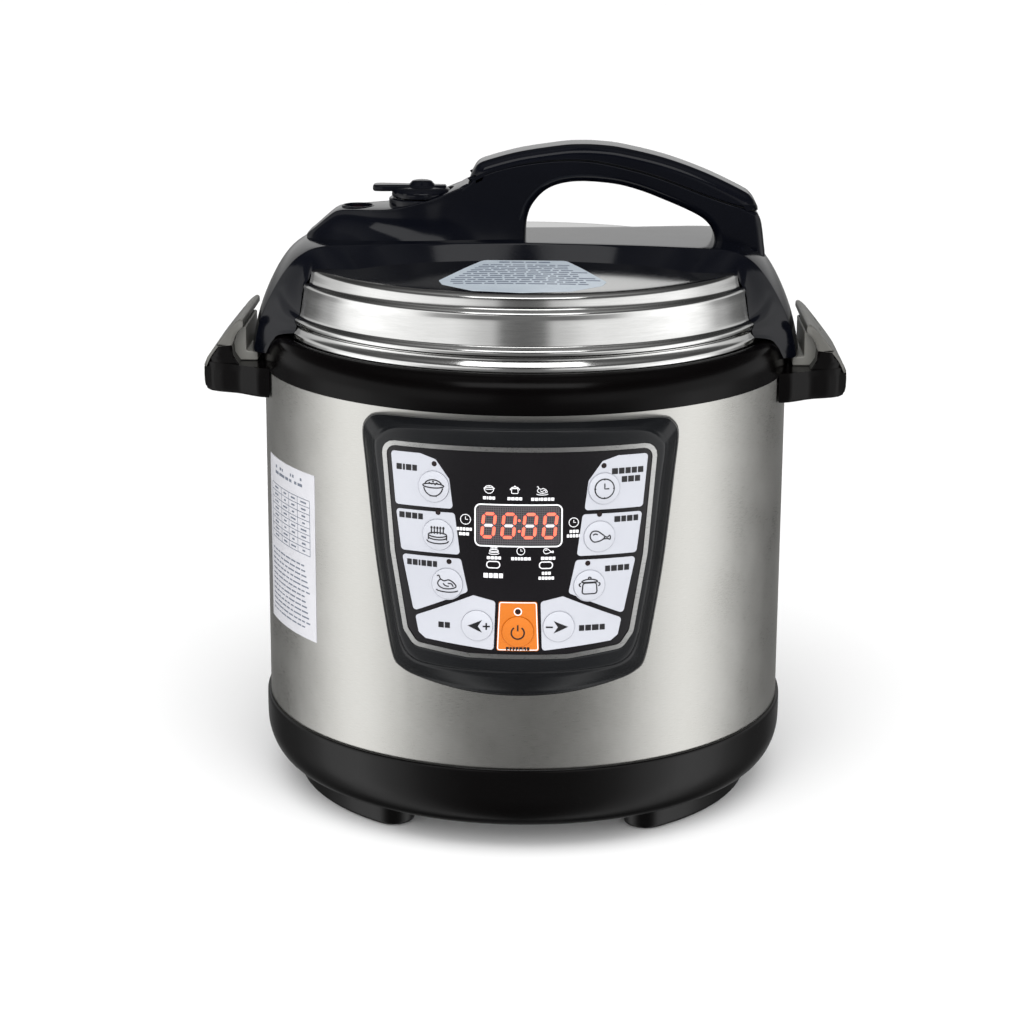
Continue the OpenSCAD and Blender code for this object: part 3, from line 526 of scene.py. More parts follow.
MAT = {
    "gloss": plastic("gloss_black", (0.0012, 0.0015, 0.0030), (0.0024, 0.0028, 0.0048), (0.08, 0.16), 900,
                     0.000006,
                     coat=0.08, specular=0.17),
    "black": plastic("collar_black", (0.0008, 0.0006, 0.0006), (0.0014, 0.0011, 0.0012), (0.13, 0.24),
                     900, 0.000008,
                     specular=0.10),
    "base": plastic("base_black", (0.0006, 0.0004, 0.0004), (0.0012, 0.0010, 0.0010), (0.17, 0.29), 900,
                    0.000010,
                    specular=0.22),
    "satin": plastic("satin_black", (0.0045, 0.0045, 0.0048), (0.0080, 0.0080, 0.0084), (0.28, 0.42),
                     1400, 0.00003,
                     specular=0.25),
    "bezel": plastic("bezel_grey", (0.0050, 0.0054, 0.0062), (0.0075, 0.0080, 0.0090), (0.14, 0.24), 900,
                     0.000006,
                     coat=0.05, specular=0.32),
    "latch": plastic("latch_grey", (0.16, 0.158, 0.145), (0.20, 0.197, 0.182), (0.34, 0.5), 1600, 0.00002),
    "cover": plastic("cover_grey", (0.072, 0.070, 0.063), (0.095, 0.093, 0.085), (0.28, 0.42), 1600, 0.00002),
    "overlay": plastic("overlay_black", (0.0035, 0.0030, 0.0040), (0.0065, 0.0055, 0.0070), (0.16, 0.26),
                       1800, 0.000004),
    "trim": steel("trim_silver", (0.50, 0.50, 0.49), (0.66, 0.66, 0.65), (0.24, 0.34), (30, 700), 0.000004),
    "key": plastic("key_grey", (0.42, 0.43, 0.47), (0.46, 0.47, 0.51), (0.36, 0.5), 2200, 0.000012),
    "plate": plastic("plate_grey", (0.41, 0.42, 0.46), (0.45, 0.46, 0.50), (0.38, 0.52), 2200, 0.00001),
    "orange": plastic("key_orange", (0.50, 0.125, 0.003), (0.56, 0.145, 0.004), (0.36, 0.5), 2200, 0.00001),
    "ink": printed("dark_ink", (0.006, 0.006, 0.008), (0.014, 0.013, 0.015)),
    "white": printed("white_ink", (0.72, 0.72, 0.74), (0.82, 0.82, 0.84)),
    "paper": printed("label_paper", (0.54, 0.54, 0.57), (0.58, 0.58, 0.61), (0.3, 0.45)),
    "blue": printed("label_blue", (0.38, 0.43, 0.48), (0.43, 0.48, 0.53), (0.28, 0.42)),
    "grey_ink": printed("grey_ink", (0.10, 0.12, 0.16), (0.16, 0.18, 0.22)),
    "digit": glowing("digit_red", (1.0, 0.11, 0.055), 1.1, (0.75, 0.10, 0.06), (0.85, 0.14, 0.09)),
    "digit_off": glowing("digit_pale", (0.9, 0.8, 0.8), 0.12, (0.55, 0.50, 0.52), (0.65, 0.60, 0.62)),
    "lamp": plastic("lamp_dark", (0.010, 0.006, 0.006), (0.020, 0.010, 0.010), (0.1, 0.2), 900, 0.00001, 0.3),
    "film": window_film(),
    "body": steel("brushed_steel", (0.43, 0.425, 0.40), (0.60, 0.595, 0.57), (0.24, 0.36), (26, 5200),
                  0.0000035, 0.78),
    "lid": steel("polished_steel", (0.62, 0.62, 0.61), (0.73, 0.73, 0.72), (0.10, 0.16), (9, 900, 900),
                 0.0000008),
    "pressed": steel("pressed_steel", (0.40, 0.40, 0.39), (0.56, 0.56, 0.55), (0.28, 0.42),
                     (12, 500, 500), 0.000006),
    "pot": steel("pot_steel", (0.52, 0.53, 0.53), (0.66, 0.67, 0.67), (0.20, 0.34), (20, 1500, 1500),
                 0.000004, 0.4),
    "cast": steel("cast_aluminium", (0.36, 0.37, 0.38), (0.50, 0.51, 0.52), (0.4, 0.6), (700, 700, 700),
                  0.00006, turn=False),
    "zinc": steel("zinc_sheet", (0.38, 0.39, 0.40), (0.60, 0.60, 0.58), (0.34, 0.5), (130, 130, 130),
                  0.00002, turn=False),
    "screw": steel("screw_steel", (0.36, 0.36, 0.35), (0.55, 0.55, 0.54), (0.25, 0.4), (600, 600, 600),
                   0.00001, turn=False),
    "spring": steel("spring_steel", (0.34, 0.34, 0.35), (0.5, 0.5, 0.5), (0.25, 0.4), (500, 500, 500),
                    0.00001, turn=False),
    "element": element_metal(),
    "cream": plastic("cream_plastic", (0.62, 0.56, 0.46), (0.70, 0.64, 0.53), (0.35, 0.5), 1200, 0.00002),
    "ceramic": plastic("ceramic_white", (0.74, 0.72, 0.68), (0.82, 0.80, 0.76), (0.2, 0.35), 700, 0.00002),
    "board": plastic("circuit_green", (0.018, 0.10, 0.032), (0.030, 0.16, 0.050), (0.25, 0.4), 500,
                     0.00002, patch=60),
    "rubber": plastic("rubber_pad", (0.018, 0.018, 0.018), (0.032, 0.032, 0.032), (0.6, 0.85), 900, 0.00008),
    "silicone": plastic("silicone", (0.62, 0.62, 0.57), (0.72, 0.72, 0.67), (0.35, 0.55), 700, 0.00003),
    "float": plastic("float_red", (0.36, 0.028, 0.020), (0.46, 0.040, 0.030), (0.28, 0.42), 900, 0.00002),
    "cup": clear_plastic(),
    "seam": plastic("dark_seam", (0.002, 0.002, 0.002), (0.004, 0.004, 0.004), (0.5, 0.7), 900, 0.00001),
}

CARRIED = {
    "body": ["outer_shell"], "zinc": ["bottom_plate"], "rubber": ["foot_pads"],
    "pressed": ["housing_pot", "plate_legs", "sensor_guide", "exhaust_nut", "steam_shield", "ring_rack"],
    "pot": ["cooking_pot"], "cast": ["heating_plate", "sensor_cap"], "element": ["heating_element"],
    "spring": ["sensor_spring"], "cream": ["pressure_switch"], "ceramic": ["thermal_fuse"],
    "board": ["power_board", "control_board"], "satin": ["cup_bracket", "power_inlet"],
    "trim": ["panel_trim"], "overlay": ["panel_overlay"], "plate": ["key_plates"],
    "orange": ["key_plate_warm"], "film": ["display_window", "display_module"], "lamp": ["indicator_lamps"],
    "key": ["key_program_1", "key_program_2", "key_program_3", "key_program_4", "key_program_5",
            "key_program_6", "key_plus", "key_minus"],
    "paper": ["side_label"], "cup": ["condensation_cup"], "blue": ["lid_label"],
    "screw": ["pan_screws", "panel_screws", "handle_screws", "lid_screws", "exhaust_pipe"],
    "float": ["float_valve"], "silicone": ["float_seal", "sealing_ring"],
}
for key, names in CARRIED.items():
    for name in names:
        slots = nodes[name].data.materials
        for i in range(len(slots)):
            slots[i] = MAT[key]
nodes["key_power"].data.materials[0] = MAT["orange"]


# ---- body ----

BODY_R = 136.0
STEEL_LOW, STEEL_HIGH = 46.5, 224.5


def make_collar():
    """Black ring round the top of the body, with the spout at its back."""
    outer = spline([(136.9, STEEL_HIGH + 0.4), (136.85, 227.6), (136.2, 233), (134.5, 237.9), (131.9, 241.3),
                    (129.4, 242.8), (127.6, 243.2), (126.6, 242.6)], 5)
    inner = [(126.5, 241.8), (126.5, 226.9), (126.1, 226.5), (117.2, 226.5), (116.8, 226.9), (116.8, 232.6),
             (116.4, 233), (115.4, 233), (115, 232.6), (115, 223.9), (115.4, 223.5), (135, 223.5),
             (135, 226.5), (136.1, 226.5), (136.1, 224.5), (136.5, 224.5)]
    profile = [(p[0], p[1]) for p in outer] + inner
    piece = make("collar", *lathe(profile, 256), "base", MAT["black"], "black_plastic", ["top_collar"])
    spout = block(-7, 7, 134, 144, 217, 226, 1.2)
    make("collar_spout", *spout, "base", MAT["satin"], "black_plastic")
    return piece


def make_base():
    """Black base ring with its rounded lower edge and the recess of the inlet."""
    outer = spline([(92, 13), (118, 13), (124, 13.1), (128.4, 14.2), (131.8, 16.8), (134.6, 20.8),
                    (136.5, 25.4),
                    (137.5, 30), (137.8, 36), (137.8, 45)], 5)
    inner = [(137.6, 46.1), (137.2, 46.5), (136.1, 46.5), (136.1, 44), (133.4, 44), (133.2, 28), (130, 21.5),
             (125, 17.5), (119, 15.6), (92, 15.6)]
    profile = [(p[0], p[1]) for p in outer] + inner
    piece = make("base_ring", *lathe(profile, 256), "base", MAT["base"], "black_plastic", ["base_pan"])
    cut(piece, [block(-14.2, 14.2, 115, 145, 20.8, 41.2, 0.4)])
    return piece


def bent_bar(mid, half, reach, steps=40, ends=10):
    """Plan outline of a bent bar with round ends."""
    def at(r, a):
        return Vector((r * math.cos(a), r * math.sin(a)))
    reach = math.radians(reach)
    out = [at(mid + half, lerp(-reach, reach, i / steps)) for i in range(steps + 1)]
    out += [at(mid, reach) + at(half, reach + math.pi * i / ends) for i in range(1, ends)]
    out += [at(mid - half, lerp(reach, -reach, i / steps)) for i in range(steps + 1)]
    out += [at(mid, -reach) + at(half, math.pi - reach + math.pi * i / ends) for i in range(1, ends)]
    return out


def make_foot(name, turn):
    """Long curved foot with a rounded lower edge."""
    plan = bent_bar(109.5, 11, 54)
    rings = []
    for depth, z in ((2.2, 1.0), (1.0, 1.25), (0.35, 1.9), (0.0, 3.0), (0.0, 12.0), (0.4, 12.9)):
        loop = inset(plan, depth)
        c, s = math.cos(turn), math.sin(turn)
        rings.append([(p[0] * c - p[1] * s, p[0] * s + p[1] * c, z) for p in loop])
    make(name, *loft(rings), "base", MAT["base"], "satin_black", [name], soften=True)


make_collar()
make_base()
make_foot("foot_left", math.pi)
make_foot("foot_right", 0.0)


# ---- side handles ----

GRIP_PLAN = [(120, 47), (136, 43), (146, 35), (158, 31), (164, 27), (167, 20)]
SLOPE_OUT = [(223.2, 166.2), (229.4, 163.2), (236.4, 158), (243.8, 152), (248.4, 148), (250.2, 145.6)]
SLOPE_IN = [(226.6, 146.0), (231.4, 149.2), (238, 149.2), (243, 147), (246.6, 143.8), (249.2, 143.7)]


def stack(levels, corner_radius):
    """Solid that follows the plan of the handle, from (height, inner x, outer x, narrowing) levels."""
    rings = []
    for z, x0, x1, less in levels:
        xs = [lerp(x0, x1, i / 8) for i in range(9)]
        near = [(x, less - table(GRIP_PLAN, x)) for x in xs]
        outline = near + [(x, -y) for x, y in reversed(near)]
        radii = [0.5] + [0] * 7 + [corner_radius] * 2 + [0] * 7 + [0.5]
        loop = resample(rounded(outline, radii, 6), 150)
        rings.append([(p[0], p[1], z) for p in loop])
    return loft(rings)


def slope_levels(low, high, steps, narrow):
    """Levels of the grey cover between two heights: thin on the slope, solid in the curl."""
    out = []
    for i in range(steps + 1):
        z = lerp(low, high, i / steps)
        outer = smooth_table(SLOPE_OUT, z)
        share = min(1.0, max(0.0, (z - 235.2) / 1.2))
        inner = lerp(outer - 1.7, smooth_table(SLOPE_IN, z), share)
        out.append((z, inner, outer, narrow))
    return out


def make_side_handle(side):
    """Black bracket with its grey latch cover, on the right or mirrored to the left."""
    name = "right" if side > 0 else "left"

    def turned(part):
        return [(side * v[0], v[1], v[2]) for v in part[0]], part[1]

    levels = [(211.1, 126, 160.8, 2.0), (211.35, 126, 162.6, 1.1), (212.0, 126, 164.2, 0.5),
              (213.2, 126, 165.5, 0.2), (215.2, 126, 166.1, 0.1), (219.0, 126, 166.2, 0.1),
              (222.6, 126, 166.1, 0.1),
              (223.6, 126, 165.3, 0.1), (226.4, 126, 163.6, 0.1), (226.6, 126.2, 163.5, 0.25)]
    levels += [(226.65, 146.2, 163.4, 0.3), (229.4, 148.2, 162.1, 0.1), (231.4, 149.4, 160.7, 0.1),
               (234.4, 149.6, 158.4, 0.1), (236.2, 149.9, 157.0, 0.1), (236.6, 150.3, 156.3, 0.5)]
    piece = make(f"side_grip_{name}", *turned(stack(levels, 3.0)), "base", MAT["black"], "satin_black",
                 [f"side_handle_{name}"], soften=True)
    cut(piece, [cylinder(137.0, 200, 231, steps=256)])
    cut(piece, [turned(block(138.5, 160.5, -26, 26, 204, 218.5, 1.0))])
    cover = slope_levels(223.6, 249.0, 22, 0.0)
    cover = [(223.3, cover[0][1] + 0.5, cover[0][2] - 0.3, 0.3)] + cover
    cover += [(249.7, 143.9, 146.2, 0.15), (250.15, 144.5, 145.6, 0.6)]
    latch = make(f"latch_cover_{name}", *turned(stack(cover, 2.4)), "base", MAT["cover"], "satin_black",
                 soften=True)
    slots = [turned(block(140.0, 170, y, y + 19.5, 241.5, 243.1, 0.6)) for y in (-24.0, 4.5)]
    cut(latch, slots)
    outline = rounded([(137.8, 226.7), (148.6, 226.7), (150.4, 229.8), (150.3, 237), (149.4, 240.6),
                       (146.8, 243.8),
                       (143.7, 244.6), (143.7, 231.6), (137.8, 231.2)], 0.8, 3)
    make(f"latch_seat_{name}", *turned(rounded_prism(outline, -24, 24, 0.7)), "base", MAT["latch"],
         "satin_black",
         soften=True)


for side in (1, -1):
    make_side_handle(side)


# ---- panel ----

PANEL_R = 149.2
RIM_HALF = [(0, 222.5), (25, 222.5), (48, 222.3), (68, 221.6), (74, 218.5), (76.4, 212), (74.8, 194),
            (70.6, 153),
            (65.7, 120), (62, 101), (58, 95.5), (48, 91.5), (25, 87), (0, 85.5)]
FACE_HALF = [(0, 220.5), (22, 220.5), (43, 220), (60, 218.6), (68, 213), (69.6, 208), (67.5, 190),
             (63.8, 153),
             (58.8, 122), (55.5, 110), (50, 104.5), (40, 102.6), (20, 101.4), (0, 101)]
TRIM_HALF = [(66, 212.2), (61.8, 158), (55.6, 119), (50.4, 111.4), (24, 107.8)]


def on_cylinder(x, z, radius):
    """Point at x, z on the front of a cylinder."""
    return (x, -math.sqrt(radius * radius - x * x), z)


def make_bezel():
    """Raised frame of the panel: sloping sides, rounded edges and the step round the trim."""
    count = 260
    whole = [(x, z) for x, z in RIM_HALF] + [(-x, z) for x, z in reversed(RIM_HALF[1:-1])]
    rim = resample(spline(whole, 8, closed=True), count)
    face_all = [(x, z) for x, z in FACE_HALF] + [(-x, z) for x, z in reversed(FACE_HALF[1:-1])]
    face = spline(face_all, 8, closed=True)
    rim_dense = spline(whole, 8, closed=True)

    def match(k):
        """Face point at the same share of the outline as rim point k."""
        share = k / count
        lengths = [0.0]
        for a, b in zip(rim_dense, rim_dense[1:] + rim_dense[:1]):
            lengths.append(lengths[-1] + (b - a).length)
        want = share * lengths[-1]
        i = max(j for j in range(len(rim_dense)) if lengths[j] <= want)
        t = (want - lengths[i]) / max(1e-9, lengths[i + 1] - lengths[i])
        return face[i].lerp(face[(i + 1) % len(face)], t)

    outer = [match(k) for k in range(count)]
    edge = resample(rounded(mirrored(TRIM_HALF), 6, 8), 720)

    def nearest(p):
        return min(edge, key=lambda q: (q - p).length_squared)

    hole = [nearest(p) for p in outer]
    rings = []

    def ring(points, radius):
        rings.append([on_cylinder(p[0], p[1], radius) for p in points])

    ring(rim, 136.12)
    ring(rim, 138.6)
    for t in (0.0, 0.25, 0.5, 0.75, 1.0):
        a = t * math.pi / 2
        share = 0.035 + 0.10 * (1 - math.cos(a))
        ring([r.lerp(f, share) for r, f in zip(rim, outer)], 138.6 + 2.4 * math.sin(a))
    for t in (0.25, 0.42, 0.58, 0.74, 0.86):
        ring([r.lerp(f, t) for r, f in zip(rim, outer)],
             lerp(140.6, PANEL_R - 1.6, ((t - 0.1) / 0.76) ** 0.9 if t > 0.1 else 0))
    for t in (0.0, 0.3, 0.6, 0.8, 1.0):
        a = t * math.pi / 2
        share = 0.90 + 0.22 * t
        ring([r.lerp(f, min(share, 1.0)).lerp(h, max(0.0, share - 1.0)) for r, f, h in zip(rim, outer, hole)],
             PANEL_R - 1.5 + 1.5 * math.sin(a))
    for t in (0.4, 0.75, 0.94):
        ring([f.lerp(h, t) for f, h in zip(outer, hole)], PANEL_R)
    ring(hole, PANEL_R - 0.25)
    ring(hole, 147.9)
    ring(hole, 141.0)
    ring([h.lerp(Vector((0, 160)), -0.02) for h in hole], 138.0)
    ring([h.lerp(r, 0.5) for h, r in zip(hole, rim)], 136.12)
    verts, faces = loft(rings, loop=True)
    make("bezel", verts, faces, "base", MAT["bezel"], "panel_black", ["panel_bezel"])


make_bezel()

# ---- printing on the panel ----

KEY_R, KEY_RISE = 7.5, 0.8
DOME = (KEY_R ** 2 + KEY_RISE ** 2) / (2 * KEY_RISE)
KEY_SPOTS = {"key_program_1": (-40.5, 191.5), "key_program_2": (-38.5, 168), "key_program_3": (-34, 144),
             "key_program_4": (40.5, 191.5), "key_program_5": (38.5, 168), "key_program_6": (34, 144),
             "key_plus": (-19.6, 124), "key_minus": (19.6, 124), "key_power": (0, 121.5)}


def on_panel(radius):
    """Placer for thin marks on the curved panel at a radius."""
    def place(u, v, h):
        return on_cylinder(u, v, radius + h)
    return place


def on_key(spot):
    """Placer for thin marks on a key dome."""
    turn = math.asin(spot[0] / PANEL_R)
    out = Vector((math.sin(turn), -math.cos(turn), 0))
    side = Vector((math.cos(turn), math.sin(turn), 0))

    def place(u, v, h):
        height = math.sqrt(DOME ** 2 - u * u - v * v) - DOME + KEY_RISE + PANEL_R
        return tuple(out * (height + h) + side * u + Vector((0, 0, spot[1] + v)))
    return place


def on_steel(turn):
    """Placer for marks on the side label, u running round the body."""
    def place(u, v, h):
        a = math.radians(turn) + u / (BODY_R + 0.2)
        r = BODY_R + 0.2 + h
        return (r * math.cos(a), r * math.sin(a), v)
    return place


def on_lid(u, v, h):
    """Placer for marks on the label on top of the lid."""
    r = math.hypot(u, v)
    return (u, v, table([(20, 281.65), (60, 281.15), (112, 279.35)], r) + h)


INK_H = 0.05


def line(points, width, place, closed=False, low=-0.05, high=INK_H):
    """Raised line of ink along points, in short steps so that it follows a curved surface."""
    corners = [Vector(p) for p in points]
    ends = corners[1:] + (corners[:1] if closed else [])
    pts = []
    for p, q in zip(corners, ends):
        parts = max(1, math.ceil((q - p).length / 1.5))
        pts += [p.lerp(q, i / parts) for i in range(parts)]
    if not closed:
        pts.append(corners[-1])
    n = len(pts)
    rings = []
    for i, p in enumerate(pts):
        a = pts[i - 1] if i or closed else p
        b = pts[(i + 1) % n] if i < n - 1 or closed else p
        d = (b - a).normalized()
        w = Vector((-d[1], d[0])) * width / 2
        l, r = p + w, p - w
        rings.append([place(l[0], l[1], low), place(l[0], l[1], high), place(r[0], r[1], high),
                      place(r[0], r[1], low)])
    return loft(rings, close_ends=not closed, loop=closed)


def patch(points, place, low=-0.05, high=INK_H):
    """Filled mark with an outline."""
    return loft([[place(p[0], p[1], low) for p in points], [place(p[0], p[1], high) for p in points]])


def filled(points, place, step=0.3):
    """Filled mark on a curved surface, made of closely spaced lines."""
    pts = [Vector(p) for p in points]
    low, high = min(p[1] for p in pts), max(p[1] for p in pts)
    rows = math.ceil((high - low) / step)
    out = []
    for i in range(rows):
        v = lerp(low, high, (i + 0.5) / rows)
        crossings = []
        for p, q in zip(pts, pts[1:] + pts[:1]):
            if (p[1] > v) != (q[1] > v):
                crossings.append(lerp(p[0], q[0], (v - p[1]) / (q[1] - p[1])))
        crossings.sort()
        for a, b in zip(crossings[::2], crossings[1::2]):
            if b - a > 0.15:
                out.append(line([(a, v), (b, v)], (high - low) / rows * 1.15, place))
    return out


def bars(u, v, widths, height, place, gap=0.5, centred=True):
    """Row of small plain blocks that stands where a caption would be."""
    total = sum(widths) + gap * (len(widths) - 1)
    x = u - total / 2 if centred else u
    out = []
    for w in widths:
        shape = rounded([(x, v - height / 2), (x + w, v - height / 2), (x + w, v + height / 2),
                         (x, v + height / 2)], 0.18, 2)
        out.append(patch(shape, place))
        x += w + gap
    return out


def scaled(lines, size, u=0.0, v=0.0):
    """Lines of a pictogram at a size and place."""
    return [([(u + p[0] * size, v + p[1] * size) for p in pts], closed) for pts, closed in lines]


def icon_bowl():
    """Bowl heaped with rice, about one unit to each side."""
    lines = [(ellipse(1, 0.2, 0, 0.12), True), (ellipse(0.9, 0.95, 0, 0.1, 190, 160), False),
             (ellipse(0.8, 0.5, 0, 0.16, 12, 156), False), ([(-0.34, -0.84), (0.34, -0.84)], False)]
    for x, y in ((-0.35, 0.36), (0, 0.5), (0.35, 0.36), (-0.12, 0.3), (0.2, 0.26)):
        lines.append((ellipse(0.05, 0.03, x, y, steps=6), True))
    return lines


def icon_cake():
    """Cake with candles."""
    lines = [(ellipse(1, 0.26, 0, -0.55, 170, 200), False), (ellipse(0.86, 0.22, 0, 0.02), True),
             ([(-0.86, 0.0), (-0.86, -0.45)], False), ([(0.86, 0.0), (0.86, -0.45)], False),
             (ellipse(0.86, 0.22, 0, -0.22, 180, 180), False)]
    for i in range(5):
        x = -0.56 + 0.28 * i
        lines.append(([(x, 0.1), (x, 0.52)], False))
        lines.append((ellipse(0.05, 0.09, x, 0.66, steps=8), True))
    return lines


def icon_roast():
    """Roast bird on a plate."""
    body = spline([(-0.85, 0.1), (-0.6, 0.42), (-0.25, 0.3), (0.2, 0.42), (0.65, 0.15), (0.85, -0.2),
                   (0.4, -0.4),
                   (-0.3, -0.42), (-0.75, -0.2)], 4, closed=True)
    return [(body, True), (ellipse(1.0, 0.2, 0, -0.55, 180, 180), False),
            (spline([(0.1, 0.1), (0.45, 0.05), (0.6, -0.2)], 4), False),
            (spline([(-0.6, 0.42), (-0.75, 0.75), (-0.95, 0.7)], 4), False),
            (spline([(-0.35, 0.05), (-0.1, -0.15), (0.2, -0.18)], 4), False)]


def icon_clock():
    """Clock face with two hands."""
    return [(ellipse(0.9, 0.9), True), ([(0, 0.5), (0, 0), (0.42, 0)], False),
            ([(0, 0.78), (0, 0.88)], False), ([(0.78, 0), (0.88, 0)], False),
            ([(-0.78, 0), (-0.88, 0)], False),
            ([(0, -0.78), (0, -0.88)], False)]


def icon_leg():
    """Chicken leg."""
    meat = spline([(-0.9, 0.05), (-0.7, 0.5), (-0.25, 0.55), (0.15, 0.3), (0.45, 0.02), (0.3, -0.22),
                   (-0.1, -0.4),
                   (-0.6, -0.42)], 4, closed=True)
    bone = spline([(0.45, 0.02), (0.72, -0.05), (0.92, 0.1), (1.0, -0.08), (0.95, -0.28), (0.75, -0.2),
                   (0.32, -0.2)], 4)
    return [(meat, True), (bone, False), (spline([(-0.65, 0.2), (-0.4, 0.3), (-0.2, 0.22)], 4), False)]


def icon_pot():
    """Pot with a lid and two handles."""
    pot = rounded([(-0.62, 0.28), (-0.7, -0.75), (0.7, -0.75), (0.62, 0.28)], 0.22, 3)
    return [(pot, True), (ellipse(0.74, 0.28, 0, 0.34, 0, 180), False),
            ([(-0.74, 0.34), (0.74, 0.34)], False),
            (ellipse(0.12, 0.09, 0, 0.72), True), (ellipse(0.16, 0.14, -0.8, 0.12, 90, 180), False),
            (ellipse(0.16, 0.14, 0.8, 0.12, -90, 180), False)]


def draw(lines, width, place):
    """Raised marks for the lines of a pictogram."""
    return [line(pts, width, place, closed) for pts, closed in lines]


def arrow(direction):
    """Arrow head pointing left for -1 and right for 1."""
    d = direction
    return [(-0.95 * d, 1.0), (1.15 * d, 0.0), (-0.95 * d, -1.0), (-0.35 * d, 0.0)]


def make_key_prints():
    """Black marks on the keys; each rides on its key."""
    icons = {"key_program_1": icon_bowl(), "key_program_2": icon_cake(), "key_program_3": icon_roast(),
             "key_program_4": icon_clock(), "key_program_5": icon_leg(), "key_program_6": icon_pot()}
    for key, lines in icons.items():
        place = on_key(KEY_SPOTS[key])
        parts = draw(scaled(lines, 5.3), 0.62, place)
        make(f"{key}_mark", *joined(*parts), key, MAT["ink"], "panel_black", sharp=60)
    for key, d in (("key_plus", -1), ("key_minus", 1)):
        place = on_key(KEY_SPOTS[key])
        head = [(x * 3.3 + d * 0.6, y * 3.1) for x, y in arrow(d)]
        parts = filled(head, place)
        far = -d * 4.6
        parts.append(line([(far - 1.7, 0), (far + 1.7, 0)], 0.8, place))
        if key == "key_plus":
            parts.append(line([(far, -1.7), (far, 1.7)], 0.8, place))
        make(f"{key}_mark", *joined(*parts), key, MAT["ink"], "panel_black", sharp=60)
    place = on_key(KEY_SPOTS["key_power"])
    power = [line(circle(3.1, 26, 0, -0.3, 125, 290), 0.75, place), line([(0, 0.6), (0, 3.6)], 0.75, place)]
    make("key_power_mark", *joined(*power), "key_power", MAT["ink"], "panel_black", sharp=60)


def make_key_rims():
    """Soft lips of the key plates round the keys."""
    for key, spot in KEY_SPOTS.items():
        turn = math.asin(spot[0] / PANEL_R)
        out = Vector((math.sin(turn), -math.cos(turn), 0))
        side = Vector((math.cos(turn), math.sin(turn), 0))
        rings = []
        for r, h in ((KEY_R + 0.08, -1.0), (KEY_R + 0.08, -0.12), (KEY_R + 0.22, 0.0), (KEY_R + 0.6, 0.04),
                     (KEY_R + 0.6, -1.0)):
            ring = []
            for i in range(64):
                a = 2 * math.pi * i / 64
                u, v = r * math.cos(a), r * math.sin(a)
                top = math.sqrt(148.8 ** 2 - u * u)
                ring.append(tuple(out * (top + h) + side * u + Vector((0, 0, spot[1] + v))))
            rings.append(ring)
        colour, slot = ("orange", "key_orange") if key == "key_power" else ("plate", "panel_face")
        make(f"{key}_lip", *loft(rings, loop=True), "base", MAT[colour], slot)


